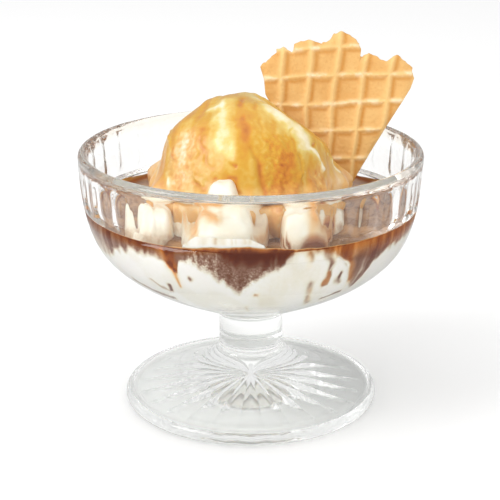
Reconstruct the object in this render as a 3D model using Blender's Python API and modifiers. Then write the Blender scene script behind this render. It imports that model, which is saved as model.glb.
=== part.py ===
"""An affogato in its footed dessert glass.

White ice cream melts in the bowl of a pressed glass, a scoop glazed with coffee
sits on it, coffee fills what is left up to a line below the rim, and a broken
piece of cone wafer stands behind the scoop.

Units are metres.  The origin is the centre of the foot's underside, +Z is up,
and the front of the dessert faces -Y.  Azimuths are in degrees from the front,
positive towards +X.
"""

import math

import bmesh
import bpy
from mathutils import Matrix, Vector
from mathutils.geometry import interpolate_bezier

GAP = 0.0003  # room left between two pieces that touch

# Bowl of the glass
RIM_HEIGHT = 0.0870
RIM_ROUND = 0.00155  # radius of the rounded lip
RIM_RADIUS = 0.0560
LIP_RADIUS = RIM_RADIUS - RIM_ROUND
BAND_FOOT = (0.05595, 0.0820)  # (radius, height) where the straight side begins
BELLY = (0.0482, 0.0533)
BELLY_ANGLE = 50.0  # slope of the wall at the belly
WALL = 0.0031
INNER_BOTTOM = 0.0362

# Stem and foot
STEM_RADIUS = 0.0106
STEM_TOP = 0.0310
STEM_BOTTOM = 0.0180
STEM_FLARE = 0.0006
FOOT_RADIUS = 0.0425
FOOT_EDGE = 0.0022  # radius of the rounded edge
REST_OUTER = 0.0405  # flat ring that the glass stands on
HOLLOW_RADIUS = 0.0370
HOLLOW_HEIGHT = 0.0035
RAYS = 20
RAY_DEPTH = 0.0003

# Band of short flutes with round ends, pressed into the outside of the bowl
FLUTES = 34
FLUTE_PHASE = 7.7
FLUTE_RADIUS = 0.0048
FLUTE_REACH = 0.0022
FLUTE_DEPTH = 0.0008
FLUTE_WALL = 0.0557  # radius of the bowl at the arches
FLUTE_ARCH = 0.0804  # height of the arch's centre
FLUTE_LENGTH = 0.0064  # of the straight stretch between the round ends
FLUTE_LEAN = 5.0

# Contents
COFFEE_LEVEL = 0.0675
ICE_FLOOR = 0.0640  # ice cream just under the coffee
ICE_CONTACT = 0.0665  # how high the ice cream touches the glass
ICE_REST = 0.0075  # width of the slope between the contact and the mounds

# Mounds of white ice cream: (x, y, height over the floor, half width, half depth)
MOUNDS = (
    (0.0000, 0.0000, 0.0095, 0.0340, 0.0340),
    (-0.0085, -0.0290, 0.0190, 0.0140, 0.0210),
    (0.0165, -0.0285, 0.0130, 0.0100, 0.0180),
    (-0.0285, -0.0200, 0.0130, 0.0110, 0.0135),
)
# Pockets of coffee between the ice cream and the glass: (azimuth, half width, depth)
POCKETS = (
    (-3.0, 14.0, 0.0105),
    (-27.0, 5.0, 0.0070),
    (44.0, 20.0, 0.0155),
    (-76.0, 22.0, 0.0120),
    (-128.0, 24.0, 0.0100),
    (108.0, 26.0, 0.0120),
    (170.0, 22.0, 0.0080),
)

# Glazed scoop
SCOOP_CENTRE = (-0.0015, 0.0, 0.0754)
SCOOP_RADIUS = 0.0290
FLAT_FACES = (0.58, 0.15, 0.80)  # where the scraped flat of the scoop's upper right faces
FLAT_DEPTH = 0.0039
SKIRT_TOP = 0.0830
SKIRT_DROP = 0.0085
SKIRT_FLARE = 0.0036
SCOOP_BOTTOM = 0.0645

# Wafer, in its own plane: x to the right, y up, the origin near where it leaves the coffee
WAFER_PLACE = (0.0338, 0.0187, 0.0690)
WAFER_LEAN = 12.0
WAFER_TURN = 5.0
WAFER_THICKNESS = 0.0018
RIB_PITCH = 0.0093
RIB_WIDTH = 0.0024
RIB_DEPTH = 0.0038
RIB_PHASE = (-0.0037, -0.0007)
WAFER_OUTLINE = (
    (-0.0300, 0.0402), (-0.0262, 0.0431), (-0.0240, 0.0459), (-0.0221, 0.0467),
    (-0.0190, 0.0446), (-0.0182, 0.0474), (-0.0158, 0.0485), (-0.0122, 0.0486),
    (-0.0093, 0.0476), (-0.0062, 0.0485), (-0.0046, 0.0508), (-0.0022, 0.0515),
    (0.0003, 0.0505), (0.0036, 0.0476), (0.0040, 0.0457), (0.0033, 0.0438),
    (0.0046, 0.0430), (0.0067, 0.0441), (0.0090, 0.0433), (0.0108, 0.0418),
    (0.0134, 0.0418), (0.0161, 0.0435), (0.0188, 0.0415), (0.0216, 0.0388),
    (0.0222, 0.0355), (0.0208, 0.0318), (0.0122, 0.0188), (0.0028, 0.0038),
    (-0.0012, -0.0030), (-0.0048, -0.0080), (-0.0078, -0.0060), (-0.0100, 0.0010),
    (-0.0160, 0.0140), (-0.0245, 0.0235), (-0.0284, 0.0310), (-0.0288, 0.0360),
)


# ---------------------------------------------------------------- scene helpers


def clear_scene():
    for obj in list(bpy.data.objects):
        bpy.data.objects.remove(obj, do_unlink=True)


def new_collection(name):
    collection = bpy.data.collections.new(name)
    bpy.context.scene.collection.children.link(collection)
    return collection


def principled(name, colour, roughness, **sockets):
    """A material with one Principled BSDF; further sockets go by their names."""
    material = bpy.data.materials.new(name)
    material.use_nodes = True
    shader = material.node_tree.nodes["Principled BSDF"]
    shader.inputs["Base Color"].default_value = (*colour, 1.0)
    shader.inputs["Roughness"].default_value = roughness
    shader.inputs["Metallic"].default_value = 0.0
    for socket, value in sockets.items():
        shader.inputs[socket.replace("_", " ")].default_value = value
    return material


def place(name, mesh, collection):
    obj = bpy.data.objects.new(name, mesh)
    collection.objects.link(obj)
    return obj


def as_cutter(obj):
    obj.hide_render = True
    obj.display_type = "WIRE"
    return obj


def boolean(obj, operation, operand):
    """Adds a Boolean with an object, or with every object of a collection."""
    modifier = obj.modifiers.new(operation.title(), "BOOLEAN")
    modifier.operation = operation
    modifier.solver = "EXACT"
    if isinstance(operand, bpy.types.Collection):
        modifier.operand_type = "COLLECTION"
        modifier.collection = operand
    else:
        modifier.object = operand


def evaluated_mesh(obj):
    """A new mesh with the object's modifiers applied and its doubles merged."""
    bpy.context.view_layer.update()
    graph = bpy.context.evaluated_depsgraph_get()
    mesh = bpy.data.meshes.new_from_object(obj.evaluated_get(graph))
    shape = bmesh.new()
    shape.from_mesh(mesh)
    bmesh.ops.remove_doubles(shape, verts=shape.verts, dist=1e-6)
    shape.to_mesh(mesh)
    shape.free()
    return mesh


def shade(obj, degrees):
    obj.data.shade_smooth()
    obj.data.set_sharp_from_angle(angle=math.radians(degrees))


def finish(obj, material, degrees=40.0):
    obj.data.materials.clear()
    obj.data.materials.append(material)
    shade(obj, degrees)


# ---------------------------------------------------------------- shape helpers


def bezier(start, start_handle, end_handle, end, count):
    """Points (radius, height) along one cubic curve."""
    knots = [Vector((*knot, 0.0)) for knot in (start, start_handle, end_handle, end)]
    return [tuple(point[:2]) for point in interpolate_bezier(*knots, count)]


def arc(centre, radius, first, last, count):
    """Points (radius, height) on an arc, from one angle in degrees to another."""
    points = []
    for i in range(count):
        angle = math.radians(first + (last - first) * i / (count - 1))
        points.append(
            (centre[0] + radius * math.cos(angle), centre[1] + radius * math.sin(angle))
        )
    return points


def along(point, degrees, distance):
    angle = math.radians(degrees)
    return (point[0] + distance * math.cos(angle), point[1] + distance * math.sin(angle))


def turned(name, profile, collection, steps=54):
    """A profile of (radius, height) points turned about the Z axis."""
    mesh = bpy.data.meshes.new(name)
    edges = [(i, i + 1) for i in range(len(profile) - 1)]
    mesh.from_pydata([(radius, 0.0, height) for radius, height in profile], edges, [])
    obj = place(name, mesh, collection)
    screw = obj.modifiers.new("Screw", "SCREW")
    screw.axis = "Z"
    screw.steps = screw.render_steps = steps
    screw.use_merge_vertices = True
    screw.merge_threshold = 1e-5
    return obj


def sphere_mesh(name, segments, rings, move):
    """A UV sphere of radius 1 whose points are moved by a function.

    It is split into triangles first, all alike, so that a piece and the larger
    copy of it that cuts its neighbour have the same facets.
    """
    shape = bmesh.new()
    bmesh.ops.create_uvsphere(shape, u_segments=segments, v_segments=rings, radius=1.0)
    bmesh.ops.triangulate(shape, faces=shape.faces, quad_method="FIXED")
    for vertex in shape.verts:
        vertex.co = move(vertex.co)
    mesh = bpy.data.meshes.new(name)
    shape.to_mesh(mesh)
    shape.free()
    return mesh


def smooth(value):
    """0 below 0, 1 above 1, and an S between them."""
    value = min(max(value, 0.0), 1.0)
    return value * value * (3.0 - 2.0 * value)


def azimuth(x, y):
    return math.degrees(math.atan2(x, -y))


def turn_between(first, second):
    """The angle from one azimuth to another, from -180 to 180 degrees."""
    return (second - first + 180.0) % 360.0 - 180.0


# ---------------------------------------------------------------- glass


def outer_bowl():
    """The outside of the bowl, from the stem up to the straight side."""
    low = bezier(
        (STEM_RADIUS + STEM_FLARE, STEM_TOP),
        (0.0225, 0.0379),
        along(BELLY, BELLY_ANGLE, -0.0142),
        BELLY,
        8,
    )
    high = bezier(BELLY, along(BELLY, BELLY_ANGLE, 0.0085), (0.0554, 0.0709), BAND_FOOT, 6)
    return low + high[1:]


def inner_bowl(shrink=0.0, top=RIM_HEIGHT - RIM_ROUND):
    """The inside of the bowl, from its lowest point up, as far as a height.

    shrink moves the curve inwards, for what lies against the glass.
    """
    wall = WALL + shrink
    angle = math.radians(BELLY_ANGLE)
    belly = (BELLY[0] - wall * math.sin(angle), BELLY[1] + wall * math.cos(angle))
    bottom = (0.0, INNER_BOTTOM + shrink)
    side = (RIM_RADIUS - WALL - shrink, RIM_HEIGHT - RIM_ROUND)
    low = bezier(
        bottom, (0.0205, bottom[1]), along(belly, BELLY_ANGLE, -0.0120), belly, 7
    )
    high = bezier(
        belly, along(belly, BELLY_ANGLE, 0.0080), (side[0] - 0.0005, 0.0710), side, 6
    )
    points = low + high[1:]
    below = [point for point in points if point[1] < top - 1e-5]
    above = points[len(below)] if len(below) < len(points) else points[-1]
    share = (top - below[-1][1]) / (above[1] - below[-1][1])
    edge = below[-1][0] + share * (above[0] - below[-1][0])
    return below + [(edge, top)]


def glass_profile():
    """The whole glass, from the bottom of its inside to the middle of its foot."""
    inner = inner_bowl()
    lip = arc((LIP_RADIUS, RIM_HEIGHT - RIM_ROUND), RIM_ROUND, 180.0, 0.0, 6)
    flared = STEM_RADIUS + STEM_FLARE
    stem = [
        (STEM_RADIUS, STEM_TOP - 0.0014),
        (STEM_RADIUS, STEM_BOTTOM + 0.0014),
        (flared, STEM_BOTTOM + 0.0006),
        (flared, STEM_BOTTOM),
    ]
    foot_top = bezier(
        (flared + 0.0003, STEM_BOTTOM - 0.0004),
        (0.0165, 0.0125),
        (0.0260, 0.0056),
        (0.0362, 0.0050),
        6,
    )
    edge_centre = (FOOT_RADIUS - FOOT_EDGE, FOOT_EDGE)
    edge = arc(edge_centre, FOOT_EDGE, 95.0, -80.0, 6)
    groove = [(0.0378, 0.0041)]
    return (
        inner[:-1]
        + lip
        + outer_bowl()[::-1]
        + stem
        + foot_top
        + groove
        + edge
        + [(REST_OUTER, 0.0), (0.0, 0.0)]
    )


def hollow_height(radius, angle):
    """The hollow under the foot: a shallow dome with a zigzag of rays pressed into it."""
    dome = HOLLOW_HEIGHT * (1.0 - (radius / HOLLOW_RADIUS) ** 1.6)
    fade = smooth(radius / 0.006) * smooth((HOLLOW_RADIUS - 0.0015 - radius) / 0.003)
    return dome + RAY_DEPTH * fade * math.cos(RAYS * angle)


def hollow_cutter(collection):
    """The upper half of a sphere pressed into the hollow's shape, its lower half flat."""

    def move(point):
        distance = min(math.acos(max(-1.0, min(1.0, point.z))) / (math.pi / 2), 2.0)
        angle = math.atan2(point.y, point.x)
        if distance <= 1.0:
            radius = HOLLOW_RADIUS * distance
            height = hollow_height(radius, angle)
        else:
            radius = HOLLOW_RADIUS * (2.0 - distance)
            height = -0.002
        return Vector((radius * math.cos(angle), radius * math.sin(angle), height))

    mesh = sphere_mesh("hollow_cutter", 3 * RAYS, 12, move)
    return as_cutter(place("hollow_cutter", mesh, collection))


def flute_cutters(parent):
    """One long round-ended tool for each flute, leaning with the wall."""
    collection = bpy.data.collections.new("flute_cutters")
    parent.children.link(collection)

    def move(point):
        drop = FLUTE_LENGTH if point.z < -1e-6 else 0.0
        return Vector(
            (point.x * FLUTE_RADIUS, point.y * FLUTE_REACH, point.z * FLUTE_RADIUS - drop)
        )

    mesh = sphere_mesh("flute_cutter", 12, 8, move)
    centre = FLUTE_WALL - FLUTE_DEPTH + FLUTE_REACH
    lean = Matrix.Rotation(math.radians(FLUTE_LEAN), 4, "X")
    shift = Matrix.Translation((0.0, -centre, FLUTE_ARCH))
    for i in range(FLUTES):
        around = math.radians(FLUTE_PHASE + 360.0 * i / FLUTES)
        cutter = as_cutter(place(f"flute_cutter_{i:02d}", mesh, collection))
        cutter.matrix_world = Matrix.Rotation(around, 4, "Z") @ shift @ lean
    return collection


def make_glass(parts, cutters):
    glass = turned("glass", glass_profile(), parts)
    boolean(glass, "DIFFERENCE", hollow_cutter(cutters))
    boolean(glass, "DIFFERENCE", flute_cutters(cutters))
    finish(
        glass,
        principled(
            "clear_glass", (0.96, 0.97, 0.96), 0.02, IOR=1.5, Transmission_Weight=1.0
        ),
    )
    return glass


# ---------------------------------------------------------------- contents


def ice_top(x, y, grow):
    """Height of the white ice cream: mounds in the middle, a contact line at the glass."""
    radius = math.hypot(x, y)
    mounds = 0.0
    for centre_x, centre_y, height, half_width, half_depth in MOUNDS:
        across = (x - centre_x) / (half_width + grow)
        deep = (y - centre_y) / (half_depth + grow)
        mounds = max(mounds, height * max(0.0, 1.0 - across**2 - deep**2) ** 0.7)
    contact = ICE_CONTACT
    for centre, half_width, depth in POCKETS:
        off = abs(turn_between(centre, azimuth(x, y))) / half_width
        contact -= depth * max(0.0, 1.0 - off)
    inwards = smooth((0.0530 - radius) / ICE_REST)
    return contact + (ICE_FLOOR + mounds - contact) * inwards + grow


def mound_mesh(name, grow):
    """A sphere pressed into the ice cream's top; its lower half is a plain block."""
    reach = RIM_RADIUS

    def move(point):
        distance = math.acos(max(-1.0, min(1.0, point.z))) / (math.pi / 2)
        angle = math.atan2(point.y, point.x)
        radius = reach * min(distance, 2.0 - distance)
        x = radius * math.cos(angle)
        y = radius * math.sin(angle)
        if distance <= 1.0 + 1e-6:
            return Vector((x, y, ice_top(x, y, grow)))
        return Vector((x, y, STEM_TOP))

    return sphere_mesh(name, 48, 26, move)


def make_ice_cream(parts, cutters):
    """The melting scoops in the bowl, up to the mounds that stand out of the coffee."""
    ice_cream = turned("ice_cream", closed_inside(RIM_HEIGHT - 0.002), parts)
    mound = as_cutter(place("mound_cutter", mound_mesh("mound_cutter", 0.0), cutters))
    boolean(ice_cream, "INTERSECT", mound)
    finish(ice_cream, principled("white_ice_cream", (0.88, 0.85, 0.79), 0.45), 180.0)
    return ice_cream


def closed_inside(top):
    """The room inside the bowl up to a height, just clear of the glass."""
    points = inner_bowl(GAP, top)
    return [(0.0, top)] + points[::-1]


def scraped_radius(point):
    """The scoop's radius towards a point of the unit ball, less where the flat cuts it."""
    facing = point.dot(Vector(FLAT_FACES).normalized())
    return min(SCOOP_RADIUS, (SCOOP_RADIUS - FLAT_DEPTH) / max(facing, 0.5))


def scoop_mesh(name, grow):
    """A dome of ice cream, scraped flat on one side, with a ragged skirt and a flat end."""
    centre = Vector(SCOOP_CENTRE)

    def move(point):
        angle = math.atan2(point.y, point.x)
        low = smooth((SKIRT_TOP - centre.z - point.z * SCOOP_RADIUS) / SKIRT_DROP)
        ragged = 0.5 * math.sin(5 * angle + 0.6) + 0.5 * math.sin(9 * angle + 2.0)
        swell = 0.0004 * math.sin(3 * angle + 4 * point.z) + 0.0003 * math.sin(7 * angle)
        flare = SKIRT_FLARE * low * (1.0 + 0.35 * ragged)
        level = math.hypot(point.x, point.y)
        ball = scraped_radius(point)
        radius = ball * level + (flare + swell * level) * level + grow * level
        height = centre.z + (ball + grow) * point.z
        floor = SCOOP_BOTTOM - grow
        return Vector(
            (
                centre.x + radius * math.cos(angle),
                centre.y + radius * math.sin(angle),
                max(height, floor + 0.0002 * level),
            )
        )

    return sphere_mesh(name, 36, 20, move)


def make_scoop(parts, grown_mound, grown_wafer):
    scoop = place("top_scoop", scoop_mesh("top_scoop", 0.0), parts)
    boolean(scoop, "DIFFERENCE", grown_mound)
    boolean(scoop, "DIFFERENCE", grown_wafer)
    finish(scoop, principled("coffee_glaze", (0.78, 0.50, 0.17), 0.22), 180.0)
    return scoop


def make_coffee(parts, grown_mound, grown_scoop, grown_wafer):
    coffee = turned("coffee", closed_inside(COFFEE_LEVEL), parts)
    boolean(coffee, "DIFFERENCE", grown_mound)
    boolean(coffee, "DIFFERENCE", grown_scoop)
    boolean(coffee, "DIFFERENCE", grown_wafer)
    finish(coffee, principled("coffee", (0.16, 0.07, 0.035), 0.12), 40.0)
    return coffee


# ---------------------------------------------------------------- wafer


def outline_prism(name, outline, half_depth, collection):
    """A flat outline in the XY plane made solid, as a closed mesh."""
    curve = bpy.data.curves.new(name, "CURVE")
    curve.dimensions = "2D"
    curve.fill_mode = "BOTH"
    curve.extrude = half_depth
    spline = curve.splines.new("POLY")
    spline.points.add(len(outline) - 1)
    for point, (x, y) in zip(spline.points, outline):
        point.co = (x, y, 0.0, 1.0)
    spline.use_cyclic_u = True
    flat = place(name, curve, collection)
    mesh = evaluated_mesh(flat)
    bpy.data.objects.remove(flat, do_unlink=True)
    return place(name, mesh, collection)


def grown_outline(outline, grow):
    """The outline moved outwards, each corner along the middle of its two sides."""
    grown = []
    for i, (x, y) in enumerate(outline):
        before = Vector(outline[i - 1])
        here = Vector((x, y))
        after = Vector(outline[(i + 1) % len(outline)])
        first = (here - before).normalized()
        second = (after - here).normalized()
        side = (first + second).normalized()
        grown.append((x - grow * side.y, y + grow * side.x))
    return grown


def rib(name, length, collection):
    """An eight-sided bar along X that stands proud of both faces of the wafer."""
    shape = bmesh.new()
    bmesh.ops.create_cone(
        shape, cap_ends=True, segments=8, radius1=0.5, radius2=0.5, depth=length
    )
    along_x = Matrix.Rotation(math.radians(90.0), 4, "Y")
    flat = Matrix.Diagonal((1.0, RIB_WIDTH, RIB_DEPTH, 1.0))
    bmesh.ops.transform(shape, matrix=flat @ along_x, verts=shape.verts)
    mesh = bpy.data.meshes.new(name)
    shape.to_mesh(mesh)
    shape.free()
    return as_cutter(place(name, mesh, collection))


def wafer_ribs(parent):
    """The grid of ribs, wider and higher than the wafer, in a collection."""
    collection = bpy.data.collections.new("wafer_ribs")
    parent.children.link(collection)
    for i in range(-3, 4):
        across = rib(f"rib_up_{i + 3}", 0.090, collection)
        across.location = (RIB_PHASE[0] + i * RIB_PITCH, 0.020, 0.0)
        across.rotation_euler = (0.0, 0.0, math.radians(90.0))
    for i in range(-1, 6):
        level = rib(f"rib_across_{i + 1}", 0.080, collection)
        level.location = (-0.004, RIB_PHASE[1] + i * RIB_PITCH, 0.0)
    return collection


def wafer_matrix():
    stand = Matrix.Rotation(math.radians(90.0 - WAFER_LEAN), 4, "X")
    turn = Matrix.Rotation(math.radians(WAFER_TURN), 4, "Z")
    return Matrix.Translation(WAFER_PLACE) @ turn @ stand


def make_wafer(parts, cutters):
    """A slab and its ribs, trimmed to the broken outline."""
    shape = bmesh.new()
    bmesh.ops.create_cube(shape, size=1.0)
    size = Matrix.Diagonal((0.070, 0.076, WAFER_THICKNESS, 1.0))
    bmesh.ops.transform(shape, matrix=size, verts=shape.verts)
    bmesh.ops.translate(shape, vec=(-0.004, 0.021, 0.0), verts=shape.verts)
    mesh = bpy.data.meshes.new("wafer_slab")
    shape.to_mesh(mesh)
    shape.free()
    slab = as_cutter(place("wafer_slab", mesh, cutters))
    boolean(slab, "UNION", wafer_ribs(cutters))
    trim = as_cutter(outline_prism("wafer_trim", WAFER_OUTLINE, RIB_DEPTH, cutters))
    boolean(slab, "INTERSECT", trim)
    wafer = place("wafer", evaluated_mesh(slab), parts)
    wafer.matrix_world = wafer_matrix()
    finish(wafer, principled("wafer", (0.80, 0.54, 0.25), 0.6))
    return wafer


def make_grown_wafer(cutters):
    outline = grown_outline(WAFER_OUTLINE, GAP)
    half_depth = RIB_DEPTH / 2 + GAP
    grown = outline_prism("grown_wafer", outline, half_depth, cutters)
    grown.matrix_world = wafer_matrix()
    return as_cutter(grown)


def main():
    clear_scene()
    parts = new_collection("affogato")
    cutters = new_collection("cutters")
    grown_wafer = make_grown_wafer(cutters)
    grown_mound = as_cutter(place("grown_mound", mound_mesh("grown_mound", GAP), cutters))
    grown_scoop = as_cutter(place("grown_scoop", scoop_mesh("grown_scoop", GAP), cutters))
    make_glass(parts, cutters)
    ice_cream = make_ice_cream(parts, cutters)
    boolean(ice_cream, "DIFFERENCE", grown_wafer)
    make_scoop(parts, grown_mound, grown_wafer)
    make_coffee(parts, grown_mound, grown_scoop, grown_wafer)
    make_wafer(parts, cutters)


main()
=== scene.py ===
# %% [markdown]
# # An affogato in its footed dessert glass
#
# Two kinds of thing make this dessert: a pressed glass, which shows only by what it
# bends and reflects, and soft food that has partly melted. Every piece below is a
# surface worked out with numpy, a function of two parameters laid on a grid, so its
# shape can be read as a formula. Azimuths are measured from the front (-Y), positive
# towards +X, and all lengths are in metres.

import math

import bmesh
import bpy
import numpy as np
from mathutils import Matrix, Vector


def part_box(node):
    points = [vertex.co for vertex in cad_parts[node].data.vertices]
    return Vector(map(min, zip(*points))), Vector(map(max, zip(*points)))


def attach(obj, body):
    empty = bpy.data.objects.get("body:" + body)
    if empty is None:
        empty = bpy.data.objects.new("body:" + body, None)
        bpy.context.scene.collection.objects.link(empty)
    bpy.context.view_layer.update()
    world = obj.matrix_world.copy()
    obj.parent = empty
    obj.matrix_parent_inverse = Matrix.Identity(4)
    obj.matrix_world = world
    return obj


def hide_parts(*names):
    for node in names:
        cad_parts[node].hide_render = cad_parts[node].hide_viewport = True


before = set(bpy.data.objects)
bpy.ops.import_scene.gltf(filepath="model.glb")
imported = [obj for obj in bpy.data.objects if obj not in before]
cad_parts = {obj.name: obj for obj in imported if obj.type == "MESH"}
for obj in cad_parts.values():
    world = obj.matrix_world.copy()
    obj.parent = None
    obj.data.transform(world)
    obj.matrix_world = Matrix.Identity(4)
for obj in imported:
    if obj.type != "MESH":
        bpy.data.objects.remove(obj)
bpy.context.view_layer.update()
GLASS_LOW, GLASS_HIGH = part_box("glass")
print("nodes in the frame:", ", ".join(sorted(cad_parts)))
print(f"glass: {GLASS_HIGH.x - GLASS_LOW.x:.4f} m wide, {GLASS_HIGH.z:.4f} m high")

# %% [markdown]
# ## The camera
# The picture was taken with a long lens from a little above the rim. The distance,
# height and tilt below were fitted to the ellipses of the rim and the foot. A lens in
# Blender is given in millimetres for a 36 mm sensor, so a focal length known in pixels
# is scaled by the sensor over the frame's width.

# %% Set up the camera
FRAME_PIXELS = 500
FOCAL_PIXELS = 1441.5
SENSOR_MM = 36.0
CAMERA_PLACE = (-0.00026, -0.4535, 0.2077)
CAMERA_PITCH = 18.99  # degrees below the horizon
NEAREST_SEEN = 0.01


def add_object(name, data):
    """An object that shows some data, linked to the scene."""
    made = bpy.data.objects.new(name, data)
    bpy.context.scene.collection.objects.link(made)
    return made


camera_data = bpy.data.cameras.new("camera")
camera_data.sensor_width = SENSOR_MM
camera_data.lens = FOCAL_PIXELS * SENSOR_MM / FRAME_PIXELS
camera_data.clip_start = NEAREST_SEEN
camera = add_object("camera", camera_data)
camera.location = CAMERA_PLACE
camera.rotation_euler = (math.radians(90.0 - CAMERA_PITCH), 0.0, 0.0)
bpy.context.scene.camera = camera
print(f"lens: {camera_data.lens:.1f} mm")

# %% [markdown]
# ## Curves and grids
# A profile is a row of (radius, height) points. Bézier curves give the round stretches,
# and stations spread a chosen number of points evenly along the result, so the length
# of each stretch decides how fine its grid is.

# %% Curve helpers
MM = 0.001


def smooth(value):
    """0 below 0, 1 above 1, and the S-curve 3x² - 2x³ between them."""
    value = np.clip(value, 0.0, 1.0)
    return value * value * (3.0 - 2.0 * value)


def bell(distance, width):
    """1 at no distance, falling off on both sides as exp(-(distance / width)²)."""
    return np.exp(-((distance / width) ** 2))


def bezier(start, start_handle, end_handle, end, count=200):
    """Points on a cubic: each knot weighted by its Bernstein polynomial."""
    t = np.linspace(0.0, 1.0, count)[:, None]
    knots = np.array([start, start_handle, end_handle, end])
    weights = np.hstack([(1 - t) ** 3, 3 * t * (1 - t) ** 2, 3 * t * t * (1 - t), t**3])
    return weights @ knots


def arc(centre, radius, first, last, count=60):
    """Points at a fixed distance from a centre, between two angles in degrees."""
    angle = np.radians(np.linspace(first, last, count))
    return np.array(centre) + radius * np.column_stack([np.cos(angle), np.sin(angle)])


def along(point, degrees, distance):
    """The point a distance away in a direction."""
    angle = math.radians(degrees)
    return (point[0] + distance * math.cos(angle), point[1] + distance * math.sin(angle))


def lengths(points):
    """The length along a curve from its start to each of its points."""
    steps = np.linalg.norm(np.diff(points, axis=0), axis=1)
    return np.concatenate([[0.0], np.cumsum(steps)])


def stations(points, count, crowding=1.0):
    """Points at shares t**crowding of the curve's length, t even from 0 to 1."""
    points = np.asarray(points, float)
    length = lengths(points)
    wanted = length[-1] * np.linspace(0.0, 1.0, count) ** crowding
    return np.column_stack([np.interp(wanted, length, axis) for axis in points.T])


def azimuths(count, crowding=0.0):
    """A row of angles round the axis; crowding above 0 packs them towards the front."""
    even = np.linspace(-math.pi, math.pi, count, endpoint=False)[None, :]
    return even - crowding * np.sin(even)


def waves(seed, size, count=26):
    """A smooth random field: a sum of sine waves in random directions.

    size is the length, in metres, of one rise and fall, give or take two fifths. The
    values lie mostly between -1 and 1.
    """
    random = np.random.default_rng(seed)
    direction = random.normal(size=(3, count))
    direction /= np.linalg.norm(direction, axis=0)
    direction *= 2.0 * math.pi / size * random.uniform(0.6, 1.4, count)
    phase = random.uniform(0.0, 2.0 * math.pi, count)

    def field(points):
        return np.sin(points @ direction + phase).sum(axis=-1) * math.sqrt(2.0 / count)

    return field


def flat_points(across, up):
    """Points (across, up, 0), at which a random field can be read."""
    return np.stack([across, up, 0.0 * across], -1)


def swept(radius, height, azimuth):
    """Points at a radius and a height, turned to an azimuth from -Y."""
    radius, height, azimuth = np.broadcast_arrays(radius, height, azimuth)
    return np.stack([radius * np.sin(azimuth), -radius * np.cos(azimuth), height], -1)


# %% [markdown]
# A grid of points becomes a mesh in one go. Its first and last rows shrink to one point
# each, the poles, and every row between them is a closed ring, so the result is always
# a closed skin. The sign of its volume tells whether the faces point outwards.

# %% Grid to mesh
def skin_values(grid, poles=True):
    """A (rows, columns, ...) grid as one list: its rings, between two poles if asked."""
    flat = grid.reshape(-1, *grid.shape[2:])
    if not poles:
        return flat
    inner = flat[grid.shape[1] : -grid.shape[1]]
    return np.concatenate([grid[:1].mean(axis=1), inner, grid[-1:].mean(axis=1)])


def skin_faces(rows, columns, poles=True):
    """Quads between neighbouring rings, and a fan of triangles at each pole."""
    ring = np.arange(columns)
    after = (ring + 1) % columns
    rings = rows - 2 if poles else rows
    start = 1 if poles else 0
    lower = start + np.arange(rings - 1)[:, None] * columns
    quads = np.stack(
        [lower + ring, lower + after, lower + columns + after, lower + columns + ring], -1
    ).reshape(-1, 4)
    if not poles:
        return (quads,)
    top = 1 + (rings - 1) * columns
    first = np.stack([np.zeros_like(ring), 1 + after, 1 + ring], -1)
    last = np.stack([np.full_like(ring, top + columns), top + ring, top + after], -1)
    return first, quads, last


def volume(points, triangles):
    """A sixth of the sum of each triangle's triple product."""
    a, b, c = (points[triangles[:, i]] for i in range(3))
    return np.einsum("ij,ij->i", a, np.cross(b, c)).sum() / 6.0


def make_skin(name, grid, poles=True):
    """A smooth-shaded mesh object from a grid of points, closed by its poles if asked."""
    points = skin_values(grid, poles)
    parts = skin_faces(*grid.shape[:2], poles)
    fans = [part[:, [0, i, i + 1]] for part in parts for i in range(1, part.shape[1] - 1)]
    triangles = np.concatenate(fans)
    turned = slice(None, None, -1 if volume(points, triangles) < 0 else 1)
    faces = [face for part in parts for face in part[:, turned].tolist()]
    mesh = bpy.data.meshes.new(name)
    mesh.from_pydata(points, [], faces)
    mesh.shade_smooth()
    piece = add_object(name, mesh)
    print(f"{name}: {len(triangles)} triangles, {abs(volume(points, triangles)) * 1e6:.1f} cm3")
    return piece


def paint(piece, name, grid, poles=True):
    """Stores one number per point of a skin, for its material to read."""
    attribute = piece.data.attributes.new(name, "FLOAT", "POINT")
    attribute.data.foreach_set("value", skin_values(grid, poles).astype(np.float32))


# %% [markdown]
# ## Shader maths
# A material is easier to read as arithmetic than as a picture of boxes and wires. The
# class below wraps one socket: +, -, * and / on it each add a Math node, and one method
# adds a node of any other kind.

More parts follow.
